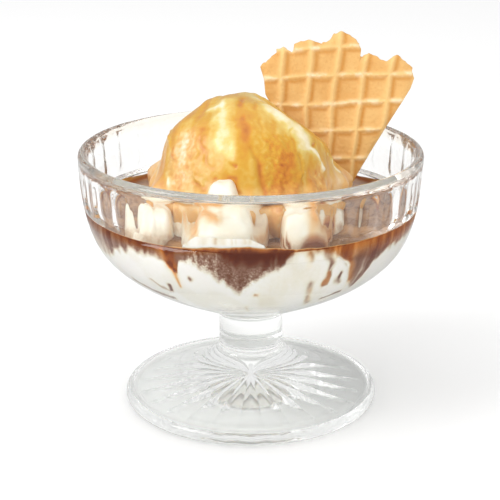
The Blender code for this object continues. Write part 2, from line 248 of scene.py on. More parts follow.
# %% Shader sockets as numbers
class Link:
    """One output socket of a node tree, which Python's operators work on."""

    def __init__(self, tree, socket=None):
        self.tree = tree
        self.socket = socket

    def node(self, kind, settings=None, inputs=None, output=0):
        """Adds a node, sets its settings and then its sockets, and gives one output."""
        made = self.tree.nodes.new(kind)
        for name, value in (settings or {}).items():
            if name == "stops":
                self.set_stops(made.color_ramp, value)
            else:
                setattr(made, name, value)
        for name, value in (inputs or {}).items():
            self.feed(made.inputs[name], value)
        return Link(self.tree, made.outputs[output])

    def feed(self, socket, value):
        """Links a socket to another output, or sets it to a plain value."""
        if isinstance(value, Link):
            self.tree.links.new(value.socket, socket)
        else:
            socket.default_value = value

    @staticmethod
    def set_stops(ramp, stops):
        """Gives a colour ramp its (place, colour) stops."""
        while len(ramp.elements) < len(stops):
            ramp.elements.new(0.5)
        for element, (place, colour) in zip(ramp.elements, stops):
            element.position = place
            element.color = colour

    def math(self, operation, *values):
        return self.node("ShaderNodeMath", {"operation": operation}, dict(enumerate(values)))

    def __add__(self, other):
        return self.math("ADD", self, other)

    __radd__ = __add__

    def __sub__(self, other):
        return self.math("SUBTRACT", self, other)

    def __rsub__(self, other):
        return self.math("SUBTRACT", other, self)

    def __mul__(self, other):
        return self.math("MULTIPLY", self, other)

    __rmul__ = __mul__

    def __truediv__(self, other):
        return self.math("DIVIDE", self, other)

    def between(self, low, high):
        """0 at low, 1 at high, an S-curve between them, whichever is larger."""
        settings = {"interpolation_type": "SMOOTHSTEP"}
        return self.node("ShaderNodeMapRange", settings, {0: self, 1: low, 2: high})


# %% [markdown]
# Every finish starts from the same few parts: a Principled shader whose steady values
# sit on its own sockets, the place on the object, and noise read at that place.

# %% Helpers for finishes
def shade(red, green, blue):
    """A display colour, 0 to 255, as the linear light that Blender works in."""
    part = np.array([red, green, blue]) / 255.0
    linear = np.where(part <= 0.04045, part / 12.92, ((part + 0.055) / 1.055) ** 2.4)
    return (*(float(value) for value in linear), 1.0)


def new_finish(piece, name, **steady):
    """Gives a piece a material with one Principled shader: the shader and a Link."""
    material = bpy.data.materials.new(name)
    material.use_nodes = True
    shader = material.node_tree.nodes["Principled BSDF"]
    for socket, value in steady.items():
        shader.inputs[socket.replace("_", " ")].default_value = value
    piece.data.materials.append(material)
    return shader, Link(material.node_tree)


def place_on(link):
    """The point of the object that is being shaded, in metres."""
    return link.node("ShaderNodeTexCoord", output="Object")


def height_of(link, place):
    return link.node("ShaderNodeSeparateXYZ", inputs={"Vector": place}, output="Z")


def noise(link, place, scale, detail=4.0):
    """Cloudy values round 0.5; scale is how many clouds fit in a metre."""
    inputs = {"Vector": place, "Scale": scale, "Detail": detail, "Roughness": 0.55}
    return link.node("ShaderNodeTexNoise", inputs=inputs)


def stretched(link, place, scale):
    """The place with each axis scaled, so that noise read there comes out drawn out."""
    return link.node("ShaderNodeMapping", inputs={"Vector": place, "Scale": scale})


def painted(link, name):
    """The number that paint stored under a name."""
    return link.node("ShaderNodeAttribute", {"attribute_name": name}, output="Fac")


def blend(link, factor, first, second):
    """first where the factor is 0, second where it is 1."""
    settings = {"data_type": "RGBA"}
    return link.node("ShaderNodeMix", settings, {0: factor, 6: first, 7: second}, output=2)


def ramp(link, stops, value):
    """The colour that a row of (place, colour) stops has at a value."""
    return link.node("ShaderNodeValToRGB", {"stops": stops}, {"Fac": value})


def roughen(link, shader, height, distance, strength):
    """Relief too fine for the mesh: a height that only bends the shader's normal."""
    inputs = {"Height": height, "Distance": distance, "Strength": strength}
    link.feed(shader.inputs["Normal"], link.node("ShaderNodeBump", inputs=inputs))


def share_surface(link, share, shader, other):
    """Hands a share of the surface, 0 to 1, from its Principled shader to another."""
    inputs = {0: share, 1: Link(link.tree, shader.outputs[0]), 2: other}
    mixed = link.node("ShaderNodeMixShader", inputs=inputs)
    link.feed(link.tree.nodes["Material Output"].inputs["Surface"], mixed)


# %% [markdown]
# ## The pressed glass
# The glass is one closed wall: up the inside of the bowl, over the rounded lip, down the
# outside, the stem and the foot, and back up into the hollow under the foot. Each
# stretch is a Bézier curve, an arc or a line. The wall's thickness is what makes glass
# look like glass, so the inside curve runs a wall's thickness in from the outside one.

# %% Profile of the glass
RIM_HEIGHT = GLASS_HIGH.z
RIM_RADIUS = GLASS_HIGH.x
RIM_ROUND = 0.00155
WALL = 0.0031
INNER_BOTTOM = 0.0362
BELLY = (0.0482, 0.0533)
BELLY_ANGLE = 50.0
INSIDE_HANDLES = (0.0120, 0.0080)  # lengths down and up the belly's slope
OUTSIDE_HANDLES = (0.0142, 0.0085)
FLAT_BOTTOM = 0.0205
UPRIGHT_FROM = 0.0710
BAND_FOOT = (RIM_RADIUS - 0.00005, 0.0820)
LIP = (RIM_RADIUS - RIM_ROUND, RIM_HEIGHT - RIM_ROUND)
STEM_RADIUS = 0.0106
COLLAR_RADIUS = 0.0112
STEM_TOP = 0.0310
STEM_BOTTOM = 0.0180
FOOT_EDGE = 0.0022
FOOT_RADIUS = 0.0425
REST_OUTER = 0.0405
HOLLOW_RADIUS = 0.0370
HOLLOW_HEIGHT = 0.0035


def inside_curve():
    """The inside of the bowl: flat at its lowest point, upright at the rim."""
    angle = math.radians(BELLY_ANGLE)
    belly = (BELLY[0] - WALL * math.sin(angle), BELLY[1] + WALL * math.cos(angle))
    side = (RIM_RADIUS - WALL, LIP[1])
    low_handle = along(belly, BELLY_ANGLE, -INSIDE_HANDLES[0])
    high_handle = along(belly, BELLY_ANGLE, INSIDE_HANDLES[1])
    low = bezier((0.0, INNER_BOTTOM), (FLAT_BOTTOM, INNER_BOTTOM), low_handle, belly)
    high = bezier(belly, high_handle, (side[0] - 0.0005, UPRIGHT_FROM), side)
    return np.concatenate([low, high[1:]])


def outside_curve():
    """The outside of the bowl, from the stem up to the straight side."""
    stem = (COLLAR_RADIUS, STEM_TOP)
    low_handle = along(BELLY, BELLY_ANGLE, -OUTSIDE_HANDLES[0])
    high_handle = along(BELLY, BELLY_ANGLE, OUTSIDE_HANDLES[1])
    low = bezier(stem, (0.0225, 0.0379), low_handle, BELLY)
    high = bezier(BELLY, high_handle, (0.0554, 0.0709), BAND_FOOT)
    return np.concatenate([low, high[1:]])


def cut_at(curve, height):
    """Splits a rising curve at a height into what is below and what is above."""
    radius = np.interp(height, curve[:, 1], curve[:, 0])
    below = curve[curve[:, 1] < height]
    above = curve[curve[:, 1] > height]
    at = np.array([[radius, height]])
    return np.concatenate([below, at]), np.concatenate([at, above])


INSIDE = inside_curve()
OUTSIDE = outside_curve()
print(f"bowl: {INSIDE[:, 0].max() * 2000:.1f} mm wide inside, wall {WALL * 1000:.1f} mm")

# %% [markdown]
# The rest of the outline: two small collars where the stem meets the bowl and the foot,
# the foot's long slope, the groove that runs inside its edge, and the hollow below.

# %% Stem, foot and hollow
STEM_LINE = (
    (COLLAR_RADIUS, STEM_TOP),
    (COLLAR_RADIUS, STEM_TOP - 0.0007),
    (STEM_RADIUS, STEM_TOP - 0.0015),
    (STEM_RADIUS, STEM_BOTTOM + 0.0015),
    (COLLAR_RADIUS, STEM_BOTTOM + 0.0007),
    (COLLAR_RADIUS, STEM_BOTTOM),
)
FOOT_TOP = ((0.0115, 0.0176), (0.0165, 0.0125), (0.0260, 0.0056), (0.0362, 0.0050))
GROOVE_AT = 0.0378
GROOVE_WIDTH = 0.0012
GROOVE_DEPTH = 0.0008
EDGE_CENTRE = (FOOT_RADIUS - FOOT_EDGE, FOOT_EDGE)
EDGE = arc(EDGE_CENTRE, FOOT_EDGE, 95.0, -80.0)
DOME_POWER = 1.6
INSIDE_ROWS = 25
LIP_ROWS = 9
HOLLOW_ROWS = 17


def dome():
    """The hollow's ceiling: a power curve of the radius, flat in the middle."""
    radius = np.linspace(HOLLOW_RADIUS, 0.0, 60)
    height = HOLLOW_HEIGHT * (1.0 - (radius / HOLLOW_RADIUS) ** DOME_POWER)
    return np.column_stack([radius, height])


def foot_slope():
    """The foot's upper face, carried on to the edge with a soft groove in it."""
    line = np.concatenate([bezier(*FOOT_TOP), stations([FOOT_TOP[-1], EDGE[0]], 40)[1:]])
    groove = GROOVE_DEPTH * bell(line[:, 0] - GROOVE_AT, GROOVE_WIDTH)
    return line - np.column_stack([0.0 * groove, groove])


def glass_outline():
    """Every stretch of the outline, resampled, from the bowl's bottom to the hollow."""
    bowl_low, bowl_band = cut_at(OUTSIDE, BAND_BOTTOM)
    band = np.concatenate([[(RIM_RADIUS, LIP[1])], bowl_band[::-1]])
    stretches = (
        stations(INSIDE, INSIDE_ROWS, 0.9),
        stations(arc(LIP, RIM_ROUND, 180.0, 0.0), LIP_ROWS),
        stations(band, 32),
        stations(bowl_low[::-1], 18),
        stations(STEM_LINE, 10),
        stations(foot_slope(), 18),
        stations(EDGE, 8),
        np.array([(REST_OUTER, 0.0), (HOLLOW_RADIUS + 0.0004, 0.0)]),
        stations(dome(), HOLLOW_ROWS),
    )
    return np.concatenate(stretches)


# %% [markdown]
# ## Flutes and rays
# The band below the rim carries a ring of short flutes with round ends. Each is the dent
# that a long elliptic tool leaves in the wall, with its lip softened, because pressed
# glass has no sharp edges. Petals run out from the middle under the foot, with a crease
# between each two: the size of a cosine of the azimuth, without its sign. Low ripples
# cover the inside of the band, because a pressed wall is never quite even. They also
# break up most of a dark spot that a perfectly even wall shows at its back from above.

# %% Pressed pattern
FLUTES = 34
COLUMNS_A_FLUTE = 21
FLUTE_PHASE = math.radians(7.7)
FLUTE_RADIUS = 0.0049
FLUTE_REACH = 0.0012
FLUTE_DEPTH = 0.0005
FLUTE_ARCH = 0.0804
FLUTE_LENGTH = 0.0064
FLUTE_SOFTNESS = 0.00015
BAND_BOTTOM = 0.0690
RAYS = 24
RAY_DEPTH = 0.00019
RAY_START = 0.0045
RAY_END = HOLLOW_RADIUS - 0.0006
RAY_FADE = 0.002
RIPPLE = 0.00005
RIPPLE_LENGTH = 0.007
RIPPLE_FADE = 0.003


def flute_depth(azimuth, height):
    """Depth of an elliptic dent round the nearest flute's middle line.

    The distance to that line, over the tool's radius, gives the dent's ellipse. The
    square root of its square plus a little softness squared rounds off the lip.
    """
    pitch = 2.0 * math.pi / FLUTES
    off = (azimuth - FLUTE_PHASE + pitch / 2.0) % pitch - pitch / 2.0
    past_top = np.maximum(height - FLUTE_ARCH, 0.0)
    past_bottom = np.maximum(FLUTE_ARCH - FLUTE_LENGTH - height, 0.0)
    share = ((off * RIM_RADIUS) ** 2 + (past_top + past_bottom) ** 2) / FLUTE_RADIUS**2
    dent = FLUTE_REACH * (np.sqrt(np.maximum(1.0 - share, 0.0)) - 1.0) + FLUTE_DEPTH
    return (dent + np.sqrt(dent**2 + FLUTE_SOFTNESS**2)) / 2.0


def ray_height(radius, azimuth):
    """Petals |cos|, with a crease between them, faded at the middle and the rim."""
    fade = smooth(radius / RAY_START) * smooth((RAY_END - radius) / RAY_FADE)
    return RAY_DEPTH * fade * np.abs(np.cos(RAYS / 2.0 * azimuth))


def glass_grid(columns):
    """The outline turned round the axis, with flutes, ripples and rays added to it."""
    outline = glass_outline()
    azimuth = azimuths(columns)
    row = np.arange(len(outline))[:, None]
    radius = outline[:, :1] + 0.0 * azimuth
    height = outline[:, 1:] + 0.0 * azimuth
    inside = row < INSIDE_ROWS + LIP_ROWS
    fluted = ~inside & (height > BAND_BOTTOM)
    radius = radius - np.where(fluted, flute_depth(azimuth, height), 0.0)
    rippled = inside * smooth((height - BAND_BOTTOM) / RIPPLE_FADE)
    rippled = rippled * smooth((LIP[1] - height) / RIPPLE_FADE)
    ripples = waves(61, RIPPLE_LENGTH)(swept(radius, height, azimuth))
    radius = radius + RIPPLE * rippled * ripples
    under = row >= len(outline) - HOLLOW_ROWS
    height = height + np.where(under, ray_height(radius, azimuth), 0.0)
    return swept(radius, height, azimuth)


glass_body = make_skin("glass_body", glass_grid(COLUMNS_A_FLUTE * FLUTES))

# %% [markdown]
# Clear glass lets light through to what stands behind it. Blender's path tracing would
# find that light only by luck, so rays on their way to a light pass straight through:
# the Light Path node tells which rays those are. The thick rim carries warm light up
# from the food below it, and a faint painted tint near the rim stands in for it.

# %% Finish of the glass
def finish_glass(piece):
    shader, link = new_finish(
        piece,
        "clear_pressed_glass",
        Roughness=0.0,
        IOR=1.5,
        Transmission_Weight=1.0,
    )
    height = height_of(link, place_on(link))
    # painted light: a faint warm tint near the rim stands in for the food's light that the wall
    # carries up
    rim = height.between(RIM_HEIGHT - 0.0045, RIM_HEIGHT - 0.0025)
    carried_light_tint = blend(link, rim, shade(252, 253, 252), shade(251, 246, 236))
    link.feed(shader.inputs["Base Color"], carried_light_tint)
    clear = link.node("ShaderNodeBsdfTransparent", inputs={"Color": shade(246, 247, 246)})
    shadow_ray = link.node("ShaderNodeLightPath", output="Is Shadow Ray")
    share_surface(link, shadow_ray, shader, clear)


finish_glass(glass_body)
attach(glass_body, "root")
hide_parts("glass")

# %% [markdown]
# ## Where coffee and ice cream meet the glass
# Below the coffee's surface the bowl is full, and what shows through the wall is
# whichever food is pressed against the glass. White ice cream touches it in rounded
# lobes, and coffee fills the pockets between them. One list of (azimuth, height) points
# gives the height where the white stops, and both pieces are built from it. The two
# liquids also mix: both are painted from the same functions of azimuth and height, so
# the froth between them runs on across their edge.

# %% Contact line
COFFEE_LEVEL = 0.0661
CONTACT_LINE = (  # azimuth in degrees, height of the white's edge in mm
    (-180, 62.0), (-152, 58.5), (-128, 56.0), (-105, 60.5), (-88, 59.0), (-70, 58.0),
    (-60, 59.0), (-54, 62.6), (-45, 65.2), (-38, 65.4), (-33, 64.8), (-30, 62.5),
    (-28.0, 61.5), (-26.0, 60.5), (-24.8, 64.0), (-20, 65.2), (-14.6, 62.3),
    (-9.4, 58.5), (-4.4, 55.6), (0.2, 59.3), (4.1, 61.8), (9, 63.5), (12, 66.9),
    (14.6, 68.5), (20, 67.8), (26, 67.6), (30, 66.0), (35.6, 61.0), (37.5, 56.0),
    (43.5, 53.0), (45.4, 56.0), (48.1, 61.0), (54.3, 63.0), (69, 64.4), (85, 64.8),
    (108, 56.5), (130, 60.0), (150, 65.0), (168, 60.0), (180, 62.0),
)
MIXING = (  # azimuth in degrees, depth in mm over which coffee and ice cream mix
    (-180, 1.5), (-60, 1.6), (-45, 1.3), (-36, 1.6), (-30, 0.9), (-25, 0.8), (-20, 2.2),
    (-12, 2.0), (-2, 1.4), (6, 1.2), (12, 1.6), (24, 1.6), (33, 0.9), (40, 0.7),
    (60, 1.6), (180, 1.5),
)
MENISCUS = (  # azimuth in degrees, height in mm that a film of coffee climbs the glass
    (-180, 1.5), (-132, 1.7), (-122, 2.5), (-105, 2.9), (-90, 3.1), (-60, 2.6), (-38, 2.7),
    (-27, 3.0), (-20, 3.4), (-11, 4.2), (0, 4.7), (6, 4.2), (16, 3.5), (23, 3.2), (32, 3.0),
    (60, 2.9), (90, 3.1), (112, 2.9), (122, 2.1), (132, 1.3), (180, 1.3),
)
INSIDE_RADIUS = 0.0505


def listed(azimuth, table):
    """Reads a list of (degrees, millimetres) between its points, in metres."""
    places, values = np.array(table, float).T
    return np.interp(np.degrees(azimuth), places, values) * MM


def contact_height(azimuth):
    """The listed line, with a small random waviness."""
    ring = swept(0.05, 0.0, azimuth)
    return listed(azimuth, CONTACT_LINE) + 0.00030 * waves(3, 0.006)(ring)


def line_height(azimuth):
    """Where the coffee's top meets the glass: its level, and what it climbs."""
    return COFFEE_LEVEL + listed(azimuth, MENISCUS)


print(f"coffee stands {(RIM_HEIGHT - COFFEE_LEVEL) * 1000:.0f} mm below the rim")

# %% [markdown]
# A stroke is a soft-edged brush mark: a path on the wall, a width, and how much it adds
# to one of three paints. Coffee darkens from ivory through mauve to black-brown, gold
# is thin clear coffee lit from behind, and cream wipes the others away.

# %% Strokes on the wall
WALL_STROKES = (  # (paint, path as (azimuth in degrees, height in mm), width in mm, amount)
    ("coffee", ((-76, 68.2), (-60, 68.0), (-44, 67.6), (-34, 67.8), (-22, 68.2)), 1.2, 0.30),
    ("coffee", ((-22, 68.4), (-12, 68.4), (-6, 68.2)), 0.9, 0.30),
    ("coffee", ((-7, 67.8), (0, 66.9), (6, 67.2), (11, 68.0)), 2.1, 0.55),
    ("coffee", ((11, 68.8), (32, 68.6)), 0.7, 0.30),
    ("froth", ((-19, 67), (-12, 65), (-6, 61), (-3, 59)), 3.2, 0.9),
    ("froth", ((0, 62), (6, 65)), 2.2, 0.7),
    ("froth", ((40, 66), (50, 65), (70, 66)), 3.0, 0.2),
    ("coffee", ((46, 64.5), (58, 66.0), (74, 67.0)), 2.4, 0.15),
    ("froth", ((-72, 64), (-60, 62)), 3.5, 0.6),
    ("cream", ((-72, 62), (-62, 60)), 3.0, 0.45),
    ("coffee", ((-56.5, 67.0), (-55.6, 64.0)), 0.9, 0.25),
    ("coffee", ((-29, 66.7), (-27.4, 66.2), (-27.8, 63.7)), 1.5, 0.40),
    ("coffee", ((-28, 63.2), (-27.2, 60.7)), 0.8, 0.45),
    ("coffee", ((-27.2, 60.5), (-26.5, 58.5), (-26.3, 56.0)), 0.6, 0.40),
    ("gold", ((-28, 62.5), (-26.6, 58.5), (-26.2, 56.2)), 1.0, 1.0),
    ("gold", ((-30, 66.5), (-27.5, 63.0)), 2.0, 0.75),
    ("coffee", ((-38, 66.0), (-34.3, 65.2)), 1.0, 0.10),
    ("coffee", ((-21.9, 59.4), (-21.6, 58.9)), 0.65, 0.60),
    ("coffee", ((-31.6, 55.5), (-32.2, 54.0)), 0.55, 0.75),
    ("coffee", ((-39.5, 56.0), (-36, 54.0), (-33, 53.0)), 0.5, 0.34),
    ("coffee", ((-53, 53.5), (-44.8, 50.6), (-35.3, 49.4)), 0.75, 0.55),
    ("coffee", ((1.5, 54.0), (2.2, 53.9)), 0.6, 0.42),
    ("gold", ((1.0, 53.9), (3.2, 54.4)), 0.7, 0.50),
    ("coffee", ((-1.8, 48.5), (-1.3, 46.0)), 1.0, 0.14),
    ("coffee", ((19.6, 66.5), (20.3, 66.0)), 0.8, 0.35),
    ("gold", ((19.4, 65.5), (19.8, 63.8)), 1.2, 0.40),
    ("coffee", ((24.5, 68.0), (26.6, 66.3), (27.8, 64.4)), 0.9, 0.40),
    ("coffee", ((28.4, 63.0), (28.6, 60.5)), 0.9, 0.62),
    ("coffee", ((28.1, 59.2), (27.6, 56.0)), 1.0, 0.58),
    ("gold", ((28.2, 60.2), (27.4, 56.4)), 0.9, 0.70),
    ("cream", ((29.7, 64.8), (28.8, 61.0)), 0.5, 0.6),
    ("coffee", ((21.8, 57.2), (22.4, 54.5)), 1.2, 0.34),
    ("gold", ((22.5, 55.0), (24.5, 50.5)), 0.9, 0.35),
    ("coffee", ((22.5, 52.5), (25.5, 48.8)), 0.8, 0.34),
    ("cream", ((30.4, 64.5), (30.2, 60.0), (28.8, 55.5), (26, 53.0)), 0.55, 1.0),
    ("cream", ((31.3, 64.4), (34.5, 62.5), (36.3, 59.5), (37.4, 54.5)), 0.65, 1.0),
    ("coffee", ((33.0, 59.8), (32.6, 58.4)), 0.75, 0.85),
    ("coffee", ((32.6, 57.0), (33.6, 56.4)), 1.1, 0.45),
    ("cream", ((27.4, 52.4), (32, 53.0), (36.9, 54.0)), 0.6, 0.8),
    ("coffee", ((31, 50.0), (34.5, 50.8), (38.5, 51.6)), 0.55, 0.62),
    ("gold", ((26, 48.0), (32, 48.4), (40, 50.2)), 0.6, 0.45),
    ("cream", ((45.0, 54.0), (48.4, 59.8), (54.0, 62.0)), 0.7, 0.5),
    ("gold", ((30, 67.0), (50, 66.5), (80, 66.5)), 2.4, 0.60),
    ("coffee", ((33, 66.0), (36, 63.5)), 1.2, 0.22),
    ("gold", ((35.5, 64.0), (37.8, 59.0), (39.5, 54.5)), 1.3, 0.55),
    ("coffee", ((41, 64.0), (47, 63.5)), 1.5, 0.12),
    ("cream", ((41.5, 54.0), (43.0, 58.0)), 1.6, 0.30),
    # a broad faint darkening, stored as coffee, over the lobes right of the front
    ("coffee", ((6, 50), (12, 58), (20, 60)), 6.0, 0.08),
    ("coffee", ((110, 60), (116, 55)), 1.0, 0.50),
    ("coffee", ((150, 60), (158, 54), (170, 52)), 0.8, 0.45),
    ("coffee", ((-120, 54), (-112, 51)), 0.8, 0.45),
    ("gold", ((-150, 56), (-146, 50)), 0.7, 0.60),
)
PAINTS = ("coffee", "gold", "froth")
EDGE_DEPTH = 0.0030
LOBE_SEAM = math.radians(-11.0) * INSIDE_RADIUS  # between the two lobes over the line


def wall_place(azimuth, height):
    """The wall unrolled: distance round it at its widest, and height."""
    azimuth, height = np.broadcast_arrays(azimuth, height)
    return np.stack([azimuth * INSIDE_RADIUS, height], -1)


def distance_to_path(points, path):
    """Distance to the nearest of the straight pieces that join a path's points."""
    nearest = np.full(points.shape[:-1], np.inf)
    for start, end in zip(path, path[1:]):
        step = end - start
        share = np.clip((points - start) @ step / (step @ step), 0.0, 1.0)
        off = points - start - share[..., None] * step
        nearest = np.minimum(nearest, np.linalg.norm(off, axis=-1))
    return nearest


def wall_paints(azimuth, height):
    """Amounts of coffee, gold and froth, 0 to 1, at places on the wall.

    Coffee fades with the depth below the contact line, over the listed depth. The
    strokes are then added, each a bell curve of the distance to its path. The last
    EDGE_DEPTH under the coffee's edge turns to rust, then gold. Over the edge only the
    two lobes in front are coloured, thinly, with a darker seam between them.
    """
    ring = swept(INSIDE_RADIUS, height, azimuth)
    wander = np.stack([waves(41, 0.004)(ring), waves(42, 0.004)(ring)], -1)
    spot = wall_place(azimuth, height) + 0.00022 * wander
    mixing = listed(azimuth, MIXING)
    off = (height - contact_height(azimuth)) / mixing + 0.22 * waves(43, 0.0030)(ring)
    coffee = 0.56 * smooth(0.5 + 0.5 * off)
    froth = 0.5 * bell(off - 0.6, 1.0) * smooth(mixing / 0.0016)
    paints = dict(zip(PAINTS, (coffee, 0.0 * coffee, froth)))
    for paint_name, path, width, amount in WALL_STROKES:
        knots = [wall_place(math.radians(around), up * MM) for around, up in path]
        here = amount * bell(distance_to_path(spot, knots), width * MM)
        if paint_name == "cream":
            paints = {name: value * (1.0 - here) for name, value in paints.items()}
        else:
            paints[paint_name] = paints[paint_name] + here
    coffee, gold, froth = (paints[name] for name in PAINTS)
    around, up = np.moveaxis(spot, -1, 0)
    deep = (line_height(azimuth) - height) / EDGE_DEPTH
    rust = bell(deep - 0.45, 0.35)
    streaks = waves(45, 0.0016)(flat_points(around, 0.12 * up))
    coffee = coffee * (1.0 + 0.10 * streaks) + 0.22 * rust
    coffee = (coffee - 0.03 * froth) * smooth(3.6 * deep + 0.35)
    gold = gold + 0.80 * smooth(1.2 - deep) * smooth(6.0 * deep + 1.0)
    lobes = smooth(-2.5 * deep - 0.2)
    seam = bell(around - LOBE_SEAM, 0.0006)
    coffee = coffee + lobes * (0.06 + 0.05 * streaks + 0.26 * seam)
    patches = smooth(0.7 * waves(46, 0.013)(ring))
    coffee = coffee + 0.05 * patches * smooth(deep)
    amounts = (coffee, gold + 0.30 * lobes, froth * smooth(deep))
    return [np.clip(amount, 0.0, 1.0) for amount in amounts]


def inside_normal(curve):
    """Unit directions out through the wall, square to the curve's steps."""
    step = np.gradient(curve, axis=0)
    step /= np.linalg.norm(step, axis=1)[:, None]
    return np.column_stack([step[:, 1], -step[:, 0]])


# %% [markdown]
# Both foods read those three paints in the same way, so one helper turns them into a
# colour. A Voronoi pattern gives the froth its bubbles: cells under a millimetre wide,
# lighter at their middles.

# %% Colour from the paints
COFFEE_STOPS = (
    (0.00, shade(255, 253, 248)),
    (0.12, shade(241, 236, 220)),
    (0.30, shade(206, 187, 166)),
    (0.48, shade(148, 112, 94)),
    (0.64, shade(116, 74, 54)),
    (0.82, shade(106, 48, 24)),
    (1.00, shade(90, 36, 14)),
)
GOLD_STOPS = (
    (0.00, shade(253, 247, 228)),
    (0.25, shade(246, 210, 152)),
    (0.50, shade(226, 152, 72)),
    (0.75, shade(184, 100, 34)),
    (1.00, shade(118, 50, 10)),
)
BUBBLE_SCALE = 1500.0


def painted_colour(link, place):
    """The colour of the mixed foods: a ramp for coffee, blended with one for gold."""
    bubbles = link.node("ShaderNodeTexVoronoi", inputs={"Vector": place, "Scale": BUBBLE_SCALE})
    grain = noise(link, place, 1100.0, detail=3.0) - 0.5
    froth = painted(link, "froth")
    amount = painted(link, "coffee") + froth * (bubbles - 0.50) * 0.30
    amount = amount + grain * (0.08 + 0.30 * froth)
    dark, clear = (ramp(link, stops, amount) for stops in (COFFEE_STOPS, GOLD_STOPS))
    return blend(link, painted(link, "gold"), dark, clear)


# %% [markdown]
# ## The melting ice cream
# One grid covers all of it. Its first rows follow the inside of the bowl: they lie a
# little inside the glass where the ice cream touches, so that no film of air shows, and
# draw back where coffee gets between. The other rows run in over the mounds, each a
# rounded hump, joined by a smooth maximum.

# %% Shape of the melting ice cream
WALL_ROWS = 136
TOP_ROWS = 40
FOOD_COLUMNS = 560
FRONT_CROWDING = 0.48
LOW_CROWDING = 0.62
TOUCH = 0.00028
DRAWN_BACK = 0.0017
MOUND_EDGE = 0.0060
WALL_TOP = (  # azimuth in degrees, height in mm where the ice cream leaves the wall
    (-180, 65.2), (-26, 65.2), (-22, 70.5), (-18, 73.5), (0, 73.5), (4, 71.5),
    (6, 68.5), (9, 65.2), (180, 65.2),
)
ICE_FLOOR = 0.0640
MOUNDS = (  # middle x and y, height over the floor, half width and half depth, in metres
    (0.0000, 0.0000, 0.0095, 0.0310, 0.0310),
    (-0.0087, -0.0290, 0.0196, 0.0056, 0.0090),
    (-0.0078, -0.0350, 0.0150, 0.0118, 0.0150),
    (0.0163, -0.0360, 0.0140, 0.0070, 0.0110),
    (-0.0310, -0.0270, 0.0125, 0.0068, 0.0100),
)
MOUND_STAINS_AND_SHADE = (  # glaze run down their fronts, and painted shade: path as (x, height), width in mm, coffee, gold
    (((-9.2, 77.4), (-13.7, 78.8), (-17.0, 78.0)), 1.0, 0.42, 1.0),
    (((-17.0, 78.0), (-17.4, 75.5), (-17.0, 72.5)), 1.1, 0.46, 1.0),
    (((-17.4, 72.0), (-12.5, 71.8)), 0.5, 0.25, 1.0),
    (((19.0, 78.0), (20.0, 75.0)), 2.6, 0.42, 1.0),
    (((22.8, 76.0), (23.2, 69.0)), 1.4, 0.45, 0.9),
    (((20.0, 73.4), (18.6, 73.2), (12.6, 73.8)), 0.5, 0.25, 0.8),
    # painted shade at the right end of the front ridge
    (((1.4, 71.2), (3.0, 70.6)), 1.0, 0.40, 0.6),
    # painted shadow along the foot of the right mound
    (((10.0, 69.0), (23.0, 69.0)), 1.0, 0.80, 0.3),
    (((6.6, 66.0), (6.6, 80.0)), 2.4, 0.52, 0.95),
)


def mound_height(x, y):
    """Humps (1 - d⁴)^0.5 over the floor, joined by the 8th root of summed 8th powers."""
    total = 0.0
    for centre_x, centre_y, height, half_width, half_depth in MOUNDS:
        far = ((x - centre_x) / half_width) ** 4 + ((y - centre_y) / half_depth) ** 4
        total = total + (height * np.sqrt(np.maximum(1.0 - far, 0.0))) ** 8
    return total**0.125


def wall_rows(bottom, top, shares):
    """Radius, height and outward direction of rows up the inside of the bowl.

    Each row lies at a share of the curve's length between two heights, of which the
    upper one may differ at each azimuth.
    """
    length = lengths(INSIDE)
    first = np.interp(bottom, INSIDE[:, 1], length)
    last = np.interp(top, INSIDE[:, 1], length)
    wanted = first + (last - first) * shares[:, None]
    columns = np.hstack([INSIDE, inside_normal(INSIDE)]).T
    return [np.interp(wanted, length, column) for column in columns]


def ice_cream_grid():
    """The wall rows, offset along the wall's normal, then the rows over the top.

    The wall is drawn back for the coffee from just over the contact line to just
    under the coffee's edge.
    """
    azimuth = azimuths(FOOD_COLUMNS, FRONT_CROWDING)
    shares = np.linspace(0.0, 1.0, WALL_ROWS) ** LOW_CROWDING
    rows = wall_rows(INNER_BOTTOM, listed(azimuth, WALL_TOP), shares)
    radius, height, out_radius, out_height = rows
    back = smooth((height - contact_height(azimuth) - 0.0002) / 0.0010)
    back = back * (1.0 - smooth((height - line_height(azimuth) + 0.0004) / 0.0003))
    offset = TOUCH - (TOUCH + DRAWN_BACK) * back
    wall = swept(radius + out_radius * offset, height + out_height * offset, azimuth)
    edge = wall[-1:]
    share = np.linspace(0.0, 1.0, TOP_ROWS + 1)[1:, None, None]
    flat = edge * (1.0 - share)
    x, y = flat[..., 0], flat[..., 1]
    lumps = 0.0006 * waves(5, 0.014)(flat) + 0.0002 * waves(6, 0.006)(flat)
    over = ICE_FLOOR + mound_height(x, y) + lumps
    inwards = smooth(share[..., 0] * RIM_RADIUS / MOUND_EDGE)
    flat[..., 2] = edge[..., 2] + (over - edge[..., 2]) * inwards
    return azimuth, height, np.concatenate([wall, flat])


def mound_paints(flat):
    """A little cream all over, browner towards the coffee's level, and the listed stains and
    painted shade.
    """
    low_on_mound = smooth((COFFEE_LEVEL + 0.0040 - flat[..., 2]) / 0.0030)
    cloud = 0.5 + 0.25 * waves(44, 0.008)(flat)
    coffee = 0.07 + 0.08 * cloud + 0.30 * low_on_mound * cloud
    gold = 0.08 + 0.18 * cloud
    for path, width, more_coffee, more_gold in MOUND_STAINS_AND_SHADE:
        off = distance_to_path(flat[..., [0, 2]], np.array(path) * MM)
        here = bell(off, width * MM) * (flat[..., 1] < 0.0)
        coffee = coffee + (more_coffee - coffee) * here
        gold = gold + (more_gold - gold) * here
    return coffee, gold, 0.4 * low_on_mound


def paint_wall(piece, azimuth, height, above, below):
    """Stores the wall's paints, between the paints of the rows above and below them."""
    on_wall = wall_paints(azimuth, height)
    for name, *rows in zip(PAINTS, above, on_wall, below):
        paint(piece, name, np.concatenate(rows))


